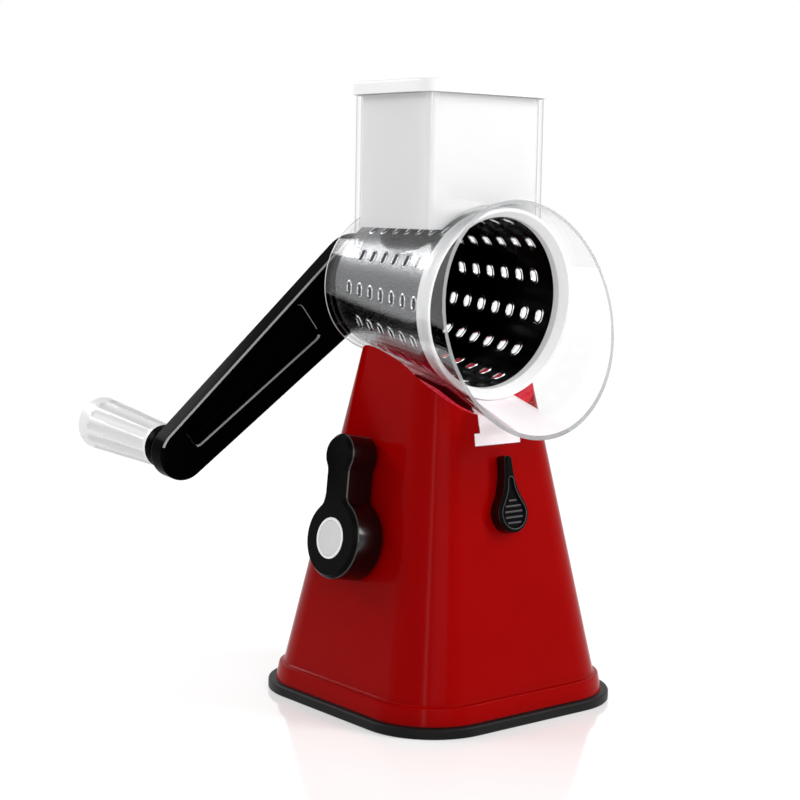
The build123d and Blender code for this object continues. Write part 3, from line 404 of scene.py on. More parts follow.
# The pusher's frosted polypropylene body.
frostedPp = frostedPlastic("moulded polypropylene, frosted", {
    "colour": "#FCFCFC", "shade": "#F6F6F7", "cloud": 30.0, "rough": 0.4, "glow": 0.3})


def sheetSteel(name, look):
    # rolling leaves fine lines along the axis, seen as a slight streak in the shine
    material, tree = blankMaterial(name)
    place = objectPlace(tree)
    stretch = addNode(tree, "ShaderNodeMapping", {"Scale": (1.0, 0.08, 1.0)}, {"Vector": place})
    streak = noise(tree, look["streak"], 4.0, stretch.outputs[0])
    shader = addNode(tree, "ShaderNodeBsdfPrincipled", {"Metallic": 1.0},
                     {"Base Color": between(tree, look["colour"], look["shade"], streak),
                      "Roughness": spread(tree, *look["rough"], streak),
                      "Normal": bumped(tree, 0.03, 0.0002, streak)})
    return shown(material, tree, shader)


# Bright rolled stainless sheet of the drum's outside.
drumSteel = sheetSteel("rolled stainless sheet, bright", {
    "colour": "#6C6D6F", "shade": "#5F6062", "rough": (0.25, 0.29), "streak": 1.2})
# The drum's inside: the same sheet made near black, painted shade.
insideShadeSteel = sheetSteel("rolled stainless sheet, painted shade inside", {
    "colour": "#2B2C2E", "shade": "#232426", "rough": (0.16, 0.26), "streak": 1.2})
# The holes' inner edges, polished by the punch.
toothSteel = sheetSteel("punched stainless edge, polished", {
    "colour": "#E2E3E4", "shade": "#D6D7D8", "rough": (0.16, 0.22), "streak": 0.6})
# The teeth's outer collars, dulled by washing.
collarSteel = sheetSteel("punched stainless edge, dulled", {
    "colour": "#C8C9CB", "shade": "#B4B5B7", "rough": (0.2, 0.28), "streak": 0.6})
# Zinc plated screws and shafts.
platedSteel = sheetSteel("turned steel, zinc plated", {
    "colour": "#B9BABB", "shade": "#A6A8AA", "rough": (0.24, 0.34), "streak": 0.5})

print("materials made")

# ---- tower: square, tapering, with a saddle on top and the slot for the housing's foot
tower = {"skirt": (63.6, 31.0, 4.6), "skirtHigh": 11.4, "skirtTop": 12.4, "draft": 1.4, "bevel": 1.0,
         "limit": 172.0, "wall": 2.5, "deck": 2.4, "slotHalf": 10.5, "footHalf": 13.9, "slotFloor": 121.9,
         "footTop": 128.0, "slotRear": 15.7, "footRear": -18.44, "side": 3.1, "shaftBore": 6.5,
         "shaftBoss": (9.0, 36.0), "rimRound": 1.1, "saddleSteps": 160, "levels": (40.0, 70.0, 100.0, 130.0, 150.0),
         "studHole": ((-3.1, -4.3, -3.5), (3.1, 8.3, 2.0)), "saddleGlowAbove": 0.13}
flare = ((-14.0, 40.2, 0.035), (9.0, 43.3, 0.18), (26.0, 48.1, 0.24), (46.0, 50.9, 0.12))  # place, radius, slope


def flareProfile(offset):
    points = [(38.5 + offset, -62.0)]
    for (s0, r0, m0), (s1, r1, m1) in zip(flare, flare[1:]):
        for i in range(6):
            t, long = i / 6, s1 - s0
            radius = ((2 * t ** 3 - 3 * t ** 2 + 1) * r0 + (t ** 3 - 2 * t ** 2 + t) * long * m0
                      + (3 * t ** 2 - 2 * t ** 3) * r1 + (t ** 3 - t ** 2) * long * m1)
            points.append((radius + offset, s0 + t * long))
    return points + [(flare[-1][1] + offset, flare[-1][0])]


def saddle(offset):
    return moved(turned("saddle", flareProfile(offset), tower["saddleSteps"]), drumFrame)


def towerRing(level, inset=0.0):
    return squareRing(halfAt(level) - inset, halfAt(level) - inset, cornerAt(level) - inset, level)


def makeTower():
    half, radius, foot = tower["skirt"]
    draft, step = tower["draft"], tower["draft"] + tower["bevel"]
    rings = [squareRing(half, half, radius, foot),
             squareRing(half - draft, half - draft, radius - draft, tower["skirtHigh"]),
             squareRing(half - draft - 0.3, half - draft - 0.3, radius - draft - 0.3, tower["skirtHigh"] + 0.7),
             squareRing(half - step, half - step, radius - step, tower["skirtTop"])]
    rings += [towerRing(tower["skirtTop"], -0.6), towerRing(tower["skirtTop"] + 0.6, 0.0)]
    rings += [towerRing(level) for level in tower["levels"] + (tower["limit"],)]
    shell = lofted("tower", rings)
    cavity = lofted("cavity", [towerRing(foot - 1.0, tower["wall"]), towerRing(tower["limit"] + 1, tower["wall"])])
    combined(cavity, saddle(tower["deck"]))
    front = -halfAt(tower["slotFloor"]) - 2.0
    side, floor = tower["side"], tower["slotFloor"]
    combined(cavity, block((-tower["footHalf"] - side, front, floor - side),
                           (tower["footHalf"] + side, tower["slotRear"] + side, 165.0)))
    bossRadius, bossLong = tower["shaftBoss"]
    combined(cavity, moved(rod(bossRadius, -1.0, bossLong), leverFrame))
    combined(shell, cavity)
    combined(shell, saddle(0.0))
    cleaned(shell, 0.12)
    # the saddle's rim and the walls' upper edges are rounded, as the mould is
    editing(shell)
    shape = bmesh.from_edit_mesh(shell.data)
    for edge in shape.edges:
        middle = (edge.verts[0].co + edge.verts[1].co) / 2
        away = max(abs(middle.x), abs(middle.y))
        if edge.is_manifold and middle.z > 100 and edge.calc_face_angle(0) > radians(35) \
                and away > halfAt(middle.z) - 0.4:
            edge.select = True
    bmesh.update_edit_mesh(shell.data)
    bpy.ops.mesh.bevel(offset=tower["rimRound"], segments=3, affect="EDGES", clamp_overlap=True)
    leaving()
    combined(shell, block((-tower["slotHalf"], front, floor), (tower["slotHalf"], tower["slotRear"], 177.0)))
    combined(shell, block((-tower["footHalf"], front, floor), (tower["footHalf"], tower["footRear"],
                                                               tower["footTop"])))
    combined(shell, moved(rod(tower["shaftBore"], -3.0, bossLong + 3.0), leverFrame))
    combined(shell, moved(block(*tower["studHole"]), catchFrame))
    made = finished(shell, "towerBody", "tower", [redAbs, saddleGlowAbs], ["tower_shell"], 30)
    back = drumFrame.inverted()
    # the saddle's faces take the pink glowing red: painted light under the clear barrel
    saddleGlow = []                                          # the saddle: faces that look at the drum's axis
    for face in made.data.polygons:
        spot = back @ (face.center * 1000)
        out = (back.to_3x3() @ face.normal).dot(Vector((spot.x, spot.y, 0)).normalized())
        if out < -0.8 and face.center.z > tower["saddleGlowAbove"]:
            saddleGlow.append(face.index)
    return painted(made, saddleGlow, 1)


makeTower()
print("tower made")

# ---- rubber foot
pad = {"half": 67.0, "radius": 34.0, "height": 4.6, "edge": 1.2, "recess": (52.0, 1.4), "hole": 30.0,
       "screwHole": 4.4, "screwPlace": 45.0}


def makePad():
    def outline(inset, level):
        return squareRing(pad["half"] - inset, pad["half"] - inset, pad["radius"] - inset, level, perCorner=16)
    body = lofted("pad", edged(outline, 0.0, pad["height"], 0.5, pad["edge"]))
    combined(body, rod(pad["recess"][0], -1.0, pad["recess"][1], steps=96))
    combined(body, rod(pad["hole"], -1.0, pad["height"] + 1, steps=96))
    for x in (-pad["screwPlace"], pad["screwPlace"]):
        for y in (-pad["screwPlace"], pad["screwPlace"]):
            combined(body, rod(pad["screwHole"], -1.0, pad["height"] + 1, x, y, 32))
    return finished(body, "suctionFoot", "tower", [blackRubber], ["suction_pad"])


makePad()
print("foot made")

# ---- clear housing: barrel, horn, hopper, neck, foot rail and keel in one moulding
housing = {"wall": 1.8, "rear": (-48.2, 34.2), "throat": (31.0, 43.8), "hornSlope": 0.262, "hornEnd": 89.5,
           "blend": 4.07, "rimPoint": (0.0, -58.5, 179.3), "rimLean": 11.3, "hopperHalf": (35.8, 29.0),
           "hopperRadius": 8.0, "hopperWall": 2.2, "hopperTop": 277.7, "hopperMiddle": -0.6,
           "neckHalf": 10.2, "neckRear": 15.4, "neckWall": 2.2, "footHalf": 13.6, "footLow": 122.2,
           "footHigh": 127.7, "footRear": -18.74, "keelRear": -31.0, "keelDrop": 0.4, "bushBore": 8.5,
           "bossRadius": 11.0, "bossLong": 2.4, "glowRear": (0.75, 0.7), "glowFoot": (158.0, 9.0, 13.7),
           "notchHalf": 4.6, "notch": (27.92, 35.92, -6.7, -2.2)}


def shellProfile(inset, rear, beyond=0.0):
    (rearPlace, rearRadius), (throat, throatRadius) = housing["rear"], housing["throat"]
    slope = (throatRadius - rearRadius) / (throat - rearPlace)
    end, blend = housing["hornEnd"] + beyond, housing["blend"]
    start = rearRadius + (rear - rearPlace) * slope
    points = [(start - inset, rear)]
    if not inset:                                        # the outside has a rounded rear edge
        points = [(start - 0.8, rear), (start - 0.2, rear + 0.2), (start, rear + 0.8)]
    for i in range(7):                                   # the bend from barrel to horn
        t = i / 6
        place = throat - blend * (1 - t) ** 2 + blend * t ** 2
        radius = throatRadius - blend * slope * (1 - t) ** 2 + blend * housing["hornSlope"] * t ** 2
        points.append((radius - inset, place))
    return points + [(throatRadius + housing["hornSlope"] * (end - throat) - inset, end)]


def makeHousing():
    steps = 128
    shell = moved(turned("housing", shellProfile(0.0, housing["rear"][0]), steps), drumFrame)
    halfX, halfY = housing["hopperHalf"]
    wall, radius, middle = housing["hopperWall"], housing["hopperRadius"], housing["hopperMiddle"]
    hopper = lofted("hopper", [squareRing(halfX, halfY, radius, level, middle)
                               for level in (axis["height"], housing["hopperTop"])])
    combined(shell, hopper, "UNION")
    frontFace, neckHalf = -halfAt(housing["footLow"]), housing["neckHalf"]
    neck = block((-neckHalf, frontFace - 2, housing["footHigh"] - 1), (neckHalf, housing["neckRear"], axis["height"]))
    combined(neck, block((-housing["footHalf"], frontFace - 2, housing["footLow"]),
                         (housing["footHalf"], housing["footRear"], housing["footHigh"])), "UNION")
    envelope = lofted("envelope", [towerRing(100.0), towerRing(198.0)])
    combined(neck, envelope, "INTERSECT")
    thin = housing["neckWall"]
    combined(neck, block((-neckHalf + thin, frontFace + 8, housing["footHigh"] + thin),
                         (neckHalf - thin, housing["neckRear"] + 5, axis["height"] + 5)))
    combined(shell, neck, "UNION")
    keel = moved(block((-neckHalf, -50.0, housing["keelRear"]), (neckHalf, 0.0, 44.0)), drumFrame)
    combined(keel, saddle(-housing["keelDrop"]), "INTERSECT")
    combined(keel, moved(block((-neckHalf + thin, -50.0, housing["keelRear"] + thin), (neckHalf - thin, 0.0, 50.0)),
                         drumFrame))
    combined(shell, keel, "UNION")
    inner = housing["rear"][0] + housing["wall"]
    hollow = turned("hollow", shellProfile(housing["wall"], inner, 2.0), steps)
    combined(hollow, rod(housing["bossRadius"], inner - 0.5, inner + housing["bossLong"]))
    moved(hollow, drumFrame)
    hole = lofted("hole", [squareRing(halfX - wall, halfY - wall, radius - wall, level, middle)
                           for level in (axis["height"] + 3, housing["hopperTop"] + 1)])
    combined(hollow, hole, "UNION")
    combined(shell, hollow)
    combined(shell, moved(rod(housing["bushBore"], housing["rear"][0] - 1, inner + 5), drumFrame))
    # the horn's mouth is a leaning cut
    lean = radians(housing["rimLean"])
    normal = Vector((0, -cos(lean), sin(lean)))
    rimFrame = frameOf(housing["rimPoint"], (1, 0, 0), (0, sin(lean), cos(lean)), normal)
    combined(shell, moved(block((-100.0, -100.0, 0.0), (100.0, 100.0, 100.0)), rimFrame))
    low, high, rear, front = housing["notch"]            # the catch's bolt rises into it
    half = housing["notchHalf"]
    combined(shell, moved(block((-half, low, rear), (half, high, front)), catchFrame))
    cleaned(shell, 0.02)
    point = Vector(housing["rimPoint"])
    made = finished(shell, "clearHousing", "housing", [clearSan, clearRim, clearGlowThick],
                    ["drum_housing"], 30)
    back = drumFrame.inverted()
    (rearPlace, rearRadius), (rearLong, rearDeep) = housing["rear"], housing["glowRear"]
    footHigh, footDeep, footHalf = housing["glowFoot"]
    # the barrel's rear edge and the foot take the glowing milky material: painted light
    for face in made.data.polygons:
        middle = face.center * 1000
        spot = back @ middle
        rearEdge = spot.z < rearPlace + rearLong and Vector((spot.x, spot.y)).length > rearRadius - rearDeep
        foot = middle.z < footHigh and middle.y < frontFace + footDeep and abs(middle.x) < footHalf
        hornEnd = abs((middle - point).dot(normal)) < 0.05 and abs(face.normal.dot(normal)) > 0.9
        if hornEnd or middle.z > housing["hopperTop"] - 0.05:
            face.material_index = 1
        elif rearEdge or foot:
            face.material_index = 2
    return made


makeHousing()
print("housing made")

# ---- shredding drum
drum = {"steel": 0.8, "rear": (-43.0, 31.4), "front": (31.5, 39.6), "rows": 13, "pitch": 9.1, "first": -30.5,
        "perRow": 7, "rowAngle": 46.9, "hole": (5.6, 3.6), "tooth": 0.9, "flange": 1.0, "curve": 35.0,
        "insideFrom": 0.45}


def drumRadius(s):
    (rear, low), (front, high) = drum["rear"], drum["front"]
    return low + (s - rear) * (high - low) / (front - rear)


def slotRing(long, wide, level, steps=20):
    # an oval with its long way along X
    half, radius = (long - wide) / 2, wide / 2
    return [Vector(((half if cos(t) > 0 else -half) + radius * cos(t), radius * sin(t), level))
            for t in [2 * pi * (i + 0.5) / steps for i in range(steps)]]


def holePlaces():
    spots = []
    for row in range(drum["rows"]):
        angle = radians(90 - drum["rowAngle"] - row * 360 / drum["rows"])
        shift = row % 2
        for i in range(drum["perRow"] - shift):
            s = drum["first"] + drum["pitch"] * (i + shift / 2)
            out = Vector((cos(angle), sin(angle), 0))
            round_ = Vector((-sin(angle), cos(angle), 0))
            spots.append(frameOf(out * drumRadius(s) + Vector((0, 0, s)), round_, Vector((0, 0, 1)), out))
    return spots


def copied(piece, turn):
    twin = piece.copy()
    twin.data = piece.data.copy()
    bpy.context.scene.collection.objects.link(twin)
    return moved(twin, turn)


def makeDrum():
    (rear, low), (front, high) = drum["rear"], drum["front"]
    steel, (long, wide) = drum["steel"], drum["hole"]
    wall = turned("drum", [(low, rear), (high, front), (high - steel, front), (low - steel, rear)], 156, loop=True)
    spots = holePlaces()
    punch = lofted("punch", [slotRing(long, wide, level) for level in (-3.0, 3.0)])
    punches = joined([copied(punch, spot) for spot in spots])
    bpy.data.objects.remove(punch)
    combined(wall, punches)
    # each tooth is a collar pushed out of the sheet, higher on its cutting side
    rise, flange = drum["tooth"], drum["flange"]
    levels = ((2 * flange, -0.12, 0.0), (1.2 * flange, 0.12, 0.2), (0.7 * flange, 0.5, 0.75), (0.25, 0.95, 1.0),
              (-0.05, 0.9, 1.0), (-0.2, 0.3, 0.4), (-0.15, -0.45, 0.0), (0.5, -steel + 0.02, 0.0),
              (1.6 * flange, -steel - 0.1, 0.0), (2.4 * flange, -steel - 0.14, 0.0),
              (2.7 * flange, -steel + 0.1, 0.0))
    rings = []
    for grow, height, lift in levels:
        ring = slotRing(long + grow, wide + grow, 0.0)
        for point in ring:
            point.z = height * rise * (0.55 + 0.45 * lift * point.y / (wide / 2 + flange)) if height > 0 else height
            point.z -= point.x ** 2 / (2 * drum["curve"])    # follows the sheet
        rings.append(ring)
    tooth = lofted("tooth", rings + rings[:1], solid=False)
    teeth = joined([copied(tooth, spot) for spot in spots])
    bpy.data.objects.remove(tooth)
    bare = len(wall.data.polygons)
    both = joined([wall, teeth])
    moved(both, drumFrame)
    made = finished(both, "shreddingDrum", "drum", [drumSteel, insideShadeSteel, toothSteel, collarSteel],
                    ["drum_shell"], 40)
    inverse = drumFrame.inverted()
    # the sheet's inner faces take the near black steel: painted shade inside the drum
    for face in made.data.polygons:
        spot = inverse @ (face.center * 1000)
        if face.index >= bare:
            inside = Vector((spot.x, spot.y)).length < drumRadius(spot.z) - drum["insideFrom"] * steel
            face.material_index = 2 if inside else 3
        elif Vector((spot.x, spot.y)).length < drumRadius(spot.z) - steel / 2:
            face.material_index = 1
    return made


makeDrum()


mouth = {"profile": [(39.7, 29.0), (41.2, 29.0), (41.4, 29.2), (41.4, 32.4), (41.6, 32.9), (43.1, 37.6),
                     (43.2, 38.0), (43.2, 38.7), (42.9, 39.0), (41.9, 39.0), (41.5, 38.8), (39.0, 35.2),
                     (38.8, 34.9), (38.8, 31.6), (39.7, 31.6)]}


def makeRing():
    body = moved(turned("ring", mouth["profile"], 128, loop=True), drumFrame)
    return finished(body, "mouthRing", "drum", [whitePlastic], ["drum_front_ring"], 40)


makeRing()
print("drum made")

# ---- crank arm: a tapering bar with a sunk front
crank = {"length": 127.0, "front": -62.7, "thick": 10.5, "hub": 20.2, "tip": 12.8, "edge": 1.4, "floor": 3.0,
         "pocket": (36.0, 120.5), "upperWall": 3.6, "lowerWall": 11.3, "pocketRounds": (4.0, 3.8, 3.4, 4.0),
         "bossRadius": 26.0, "bossFront": -49.8, "shaftBore": 6.0, "screwHead": 5.4, "screwBore": 2.1,
         "axleBore": 4.0, "highlightEdge": (-134.0, 4.0), "highlightLip": (-124.0, -30.0)}


def armRing(inset, level, steps=24):
    # hub at the origin, tip on -X, both ends round
    big, small, length = crank["hub"] - inset, crank["tip"] - inset, crank["length"]
    side = degrees(asin((big - small) / length))
    ring = []
    for i in range(steps + 1):
        turn = radians(-90 - side + (180 + 2 * side) * i / steps)
        ring.append(Vector((big * cos(turn), big * sin(turn), level)))
    for i in range(steps + 1):
        turn = radians(90 + side + (180 - 2 * side) * i / steps)
        ring.append(Vector((-length + small * cos(turn), small * sin(turn), level)))
    return ring


def pocketRing(grow, level, steps=6):
    # four straight sides between rounded corners; the lower wall is the wider one
    start, end = crank["pocket"]
    start, end = start - grow, end + grow
    slope = (crank["hub"] - crank["tip"]) / crank["length"]

    def width(along):
        return crank["hub"] - slope * along

    corners = [(-start, width(start) - crank["upperWall"] + grow), (-end, width(end) - crank["upperWall"] + grow),
               (-end, -width(end) + crank["lowerWall"] - grow), (-start, -width(start) + crank["lowerWall"] - grow)]
    ring = []
    for i, (corner, size) in enumerate(zip(corners, crank["pocketRounds"])):
        here, before, after = Vector(corner), Vector(corners[i - 1]), Vector(corners[(i + 1) % 4])
        a, b = here + (before - here).normalized() * size, here + (after - here).normalized() * size
        for j in range(steps + 1):
            t = j / steps
            spot = a * (1 - t) ** 2 + here * 2 * t * (1 - t) + b * t ** 2
            ring.append(Vector((spot.x, spot.y, level)))
    return ring


def makeArm():
    front, rear = crank["front"], crank["front"] - crank["thick"]
    arm = lofted("arm", edged(armRing, rear, front, crank["edge"], crank["edge"]))
    floor = rear + crank["floor"]
    pocket = lofted("pocket", [pocketRing(-1.6, floor), pocketRing(-1.1, floor + 0.35), pocketRing(-0.8, floor + 1.6),
                               pocketRing(0.0, front - 0.7), pocketRing(0.25, front - 0.15),
                               pocketRing(0.75, front + 0.01), pocketRing(0.75, front + 3.0)])
    combined(arm, pocket)
    boss = turned("boss", [(crank["hub"] - 1.6, front - 1.0), (crank["hub"] - 1.5, front),
                           (crank["bossRadius"] - 0.5, crank["bossFront"] - 1.0),
                           (crank["bossRadius"] - 0.9, crank["bossFront"])], 96)
    combined(arm, boss, "UNION")
    combined(arm, rod(crank["shaftBore"], front - 5.5, crank["bossFront"] + 1))
    combined(arm, rod(crank["screwHead"], rear - 1, rear + 3.0))
    combined(arm, rod(crank["screwBore"], rear - 1, front))
    combined(arm, rod(crank["axleBore"], rear - 1, front - 4.0, -crank["length"]))
    cleaned(arm, 0.02)
    # faces along the upper front edge and the pocket's lower lip take the grey nylon: a painted highlight
    highlighted = []                                            # the upper front edge and the pocket's lower lip
    slope = (crank["hub"] - crank["tip"]) / crank["length"]
    (edgeEnd, edgeStart), (lipEnd, lipStart) = crank["highlightEdge"], crank["highlightLip"]
    for face in arm.data.polygons:
        x, y, z = face.center
        offLip = abs(y + crank["hub"] + slope * x - crank["lowerWall"])
        outer = edgeEnd < x < edgeStart and y > 0 and 0.3 < face.normal.z < 0.85 and z > front - 1.35
        lip = lipEnd < x < lipStart and y < 0 and face.normal.y > 0.15 and z > front - 0.9 and offLip < 1.2
        if outer or lip:
            highlighted.append(face.index)
    moved(arm, armTurn, drumFrame)
    made = finished(arm, "crankArm", "crank", [blackNylon, edgeHighlightNylon], ["crank_arm"], 38)
    return painted(made, highlighted, 1)


makeArm()
print("crank arm made")

# ---- grip with soft flutes
grip = {"start": -77.2, "length": 62.6, "narrow": 10.0, "wide": 13.0, "dome": 5.3, "flutes": 12, "depth": 0.85,
        "fluteHalf": 2.55, "axle": 4.05, "capRadius": 7.02, "collarLong": 4.9, "fluteFrom": 6.8, "fluteTo": 55.4,
        "fluteDepths": ((4.9, 0.0), (5.4, 0.0), (6.6, 0.0), (7.2, 0.5), (8.2, 0.85), (10.0, 1.0), (20.0, 1.0),
                        (30.0, 1.0), (42.0, 1.0), (52.0, 1.0), (53.8, 0.85), (54.8, 0.5), (55.6, 0.0), (58.5, 0.0))}


def makeGrip():
    start, length = grip["start"], grip["length"]
    around = grip["flutes"] * 10

    def ring(radius, along, groove):
        points = []
        for i in range(around):
            turn = 2 * pi * i / around
            nearest = ((turn / (2 * pi) * grip["flutes"]) % 1 - 0.5) * 2 * pi / grip["flutes"] * radius
            dip = max(0.0, 1 - (nearest / grip["fluteHalf"]) ** 2) * grip["depth"] * groove
            points.append(Vector(((radius - dip) * cos(turn), (radius - dip) * sin(turn), start - along)))
        return points

    rings = [ring(grip["narrow"] - 1.0, 0.0, 0.0), ring(grip["narrow"] - 0.35, 0.25, 0.0),
             ring(grip["narrow"], 1.0, 0.0)]
    for along, groove in grip["fluteDepths"]:
        rings.append(ring(grip["narrow"] + (grip["wide"] - grip["narrow"]) * along / length, along, groove))
    for i in range(8):                                    # rounded end
        turn = pi / 2 * i / 8
        rings.append(ring(grip["wide"] * cos(turn), length + grip["dome"] * sin(turn), 0.0))
    body = lofted("grip", rings)
    end = start - length
    combined(body, rod(grip["axle"], end - 10, start + 1))
    combined(body, rod(grip["capRadius"] - 0.8, end - 10, end + 6.6))
    combined(body, rod(grip["capRadius"], end - 10, end + 1.5))
    cleaned(body, 0.01)
    slope = (grip["wide"] - grip["narrow"]) / length
    # faces in the flutes take the greyer plastic: painted shade
    grooves, collar = [], []
    for face in body.data.polygons:
        along = start - face.center.z
        radius = Vector((face.center.x, face.center.y)).length
        if along < grip["collarLong"] and radius > grip["axle"] + 1:
            collar.append(face.index)
        elif grip["fluteFrom"] < along < grip["fluteTo"] \
                and grip["narrow"] - 1.5 < radius < grip["narrow"] + slope * along - 0.2:
            grooves.append(face.index)
    moved(body, Matrix.Translation((-crank["length"], 0, 0)), armTurn, drumFrame)
    made = finished(body, "gripBody", "grip", [gripPlastic, grooveShadePlastic, blackNylon],
                    ["crank_grip"], 35)
    return painted(painted(made, grooves, 1), collar, 2)


makeGrip()
print("grip made")

# ---- suction lever: round hub, narrow waist, round lobe
lever = {"hub": 18.2, "lobe": 9.6, "apart": 37.8, "lean": 6.8, "waist": 7.3, "fillet": 5.0, "back": -2.4,
         "thick": 15.8, "bevel": 2.0, "capRadius": 9.3, "ring": 1.2, "capDeep": 2.0, "squareHalf": 3.55,
         "screwHead": (3.6, 3.9), "screwBore": 1.7}


def leverRing(inset, level):
    hub, lobe = lever["hub"] - inset, lever["lobe"] - inset
    fillet, up, across = lever["fillet"] + inset, lever["apart"], lever["waist"] + lever["fillet"]
    low = sqrt((lever["hub"] + lever["fillet"]) ** 2 - across ** 2)
    high = up - sqrt((lever["lobe"] + lever["fillet"]) ** 2 - across ** 2)
    hubTurn, lobeTurn = degrees(atan2(low, across)), degrees(atan2(up - high, across))
    arcs = [((0, 0), hub, 180 - hubTurn, 360 + hubTurn, 40), ((across, low), fillet, 180 + hubTurn, 180, 5),
            ((across, high), fillet, 180, 180 - lobeTurn, 5), ((0, up), lobe, -lobeTurn, 180 + lobeTurn, 24),
            ((-across, high), fillet, lobeTurn, 0, 5), ((-across, low), fillet, 0, -hubTurn, 5)]
    ring = []
    for (x, y), radius, first, last, steps in arcs:
        for i in range(steps + 1):
            turn = radians(first + (last - first) * i / steps)
            ring.append(Vector((x + radius * cos(turn), y + radius * sin(turn), level)))
    turnBack = Matrix.Rotation(radians(-lever["lean"]), 4, "Z")
    return [turnBack @ point for point in ring]


def makeLever():
    back, face = lever["back"], lever["back"] - lever["thick"]
    bevel = lever["bevel"]
    rings = [leverRing(inset, level) for inset, level in (
        (bevel, face), (bevel - 0.35, face + 0.08), (0.3, face + bevel - 0.3), (0.0, face + bevel + 0.3),
        (0.0, back - 0.5), (0.5, back))]
    body = lofted("lever", rings)
    combined(body, rod(lever["capRadius"] + 0.1, face - 1, face + lever["capDeep"], steps=96))
    half, (headRadius, headDeep) = lever["squareHalf"], lever["screwHead"]
    combined(body, block((-half, -half, face + 6), (half, half, 0.0)))
    combined(body, rod(headRadius, face - 1, face + headDeep, steps=32))
    combined(body, rod(lever["screwBore"], face, 0.0, steps=24))
    cleaned(body, 0.005)
    pressed = [polygon.index for polygon in body.data.polygons if polygon.normal.z < -0.5]
    moved(body, leverFrame)
    made = finished(body, "suctionLever", "lever", [blackAbs, etchedAbs],
                    ["suction_lever"], 25)
    return painted(made, pressed, 1)


def makeLeverCap():
    face, radius = lever["back"] - lever["thick"], lever["capRadius"]
    inner = radius - lever["ring"]
    disc = turned("disc", [(inner - 0.05, face + lever["capDeep"]), (inner - 0.05, face + 0.15),
                           (inner - 0.3, face - 0.1), (inner - 1.6, face - 0.02), (1.0, face - 0.04)], 72)
    moved(disc, leverFrame)
    finished(disc, "leverDisc", "lever", [greyPlastic], ["lever_cap"], 35)
    ring = turned("ring", [(radius, face + lever["capDeep"]), (radius, face - 0.1), (radius - 0.3, face - 0.4),
                           (inner + 0.3, face - 0.4), (inner, face - 0.1), (inner, face + lever["capDeep"])],
                  96, loop=True)
    moved(ring, leverFrame)
    return finished(ring, "leverRing", "lever", [whitePlastic], ["lever_ring"], 35)


makeLever()
makeLeverCap()
print("lever made")

# ---- drop-shaped release slider with its thumb ribs
catch = {"bulb": 8.8, "tip": 2.2, "up": 23.9, "shoulder": 35.0, "proud": 6.0, "gap": 0.3, "edge": 1.2,
         "dish": (6.5, 1.0, 15.0), "dishDeep": 0.9, "ribs": 5, "ribPitch": 2.5, "ribHalf": 0.45, "ribUp": 0.8,
         "bead": ((0.35, -0.2), (0.4, 0.1), (0.6, 0.2), (0.8, 0.1), (0.85, -0.2)),
         "stud": ((-2.8, -4.0, -2.8), (2.8, 4.0, 1.3)), "screwBore": 1.5}


def dropRing(bulb, tip, up, level, inset=0.0):
    bulb, tip = bulb - inset, tip - inset
    shoulder = radians(catch["shoulder"])
    start, end = Vector((bulb * cos(shoulder), bulb * sin(shoulder))), Vector((tip, up))
    long = (end - start).length
    right = []
    for i in range(1, 12):
        t = i / 12
        right.append(start * (2 * t ** 3 - 3 * t ** 2 + 1) + Vector((-sin(shoulder), cos(shoulder))) * long
                     * (t ** 3 - 2 * t ** 2 + t) + end * (3 * t ** 2 - 2 * t ** 3)
                     + Vector((0, 1)) * long * (t ** 3 - t ** 2))
    ring = [Vector((bulb * cos(turn), bulb * sin(turn))) for turn in
            [radians(145 + 250 * i / 32) for i in range(33)]]
    ring += right
    ring += [Vector((tip * cos(pi * i / 8), up + tip * sin(pi * i / 8))) for i in range(9)]
    ring += [Vector((-point.x, point.y)) for point in reversed(right)]
    return [Vector((point.x, point.y, level)) for point in ring]


def makeRelease():
    def outline(inset, level):
        return dropRing(catch["bulb"], catch["tip"], catch["up"], level, inset)
    face = catch["gap"] + catch["proud"]
    body = lofted("release", edged(outline, catch["gap"], face, 0.0, catch["edge"]))
    bulb, tip, up = catch["dish"]
    floor = face - catch["dishDeep"]
    dish = lofted("dish", [dropRing(bulb, tip, up, floor, 0.35), dropRing(bulb, tip, up, floor + 0.25),
                           dropRing(bulb, tip, up, face - 0.2), dropRing(bulb, tip, up, face + 0.02, -0.3),
                           dropRing(bulb, tip, up, face + 1, -0.3)])
    combined(body, dish)
    combined(body, block(*catch["stud"]), "UNION")
    combined(body, rod(catch["screwBore"], -4.0, 2.8, steps=24))
    ribs, half = [], catch["ribHalf"]
    for i in range(catch["ribs"]):
        y = (i - (catch["ribs"] - 1) / 2) * catch["ribPitch"] + catch["ribUp"]
        width = sqrt(bulb ** 2 - y * y) * 0.82
        ribs.append(softened(block((-width, y - half, floor - 0.2), (width, y + half, face - 0.15)), 0.28, 40, 3))
    rings = [dropRing(bulb, tip, up, face + rise, -out) for out, rise in catch["bead"]]
    bare = len(body.data.polygons)
    body = joined([body, lofted("bead", rings + rings[:1], solid=False)] + ribs)
    # the outward faces of the bead and ribs take the grey: a painted highlight
    raised = [polygon.index for polygon in body.data.polygons if polygon.index >= bare and polygon.normal.z > 0.2]
    pressed = [polygon.index for polygon in body.data.polygons if polygon.index < bare and polygon.normal.z > 0.5]
    moved(body, catchFrame)
    made = finished(body, "releaseSlider", "catch", [blackAbs, ribHighlightAbs, etchedAbs],
                    ["release_button"], 35)
    return painted(painted(made, raised, 1), pressed, 2)


makeRelease()
print("release made")

# ---- pusher and its lid
pusher = {"half": (33.1, 26.3), "radius": 5.3, "low": 218.0, "high": 277.9, "wall": 1.8, "room": 2.0,
          "lidOver": 1.7, "lidHigh": 5.95, "lidEdge": 1.2,
          "lidDish": ((3.4, 0.0), (3.75, 0.12), (4.0, 0.4), (4.1, 0.8), (4.5, 1.0), (5.2, 1.0))}


def drumRoom(extra):
    return moved(turned("room", [(drumRadius(-70.0) + extra, -70.0), (drumRadius(70.0) + extra, 70.0)], 128),
                 drumFrame)


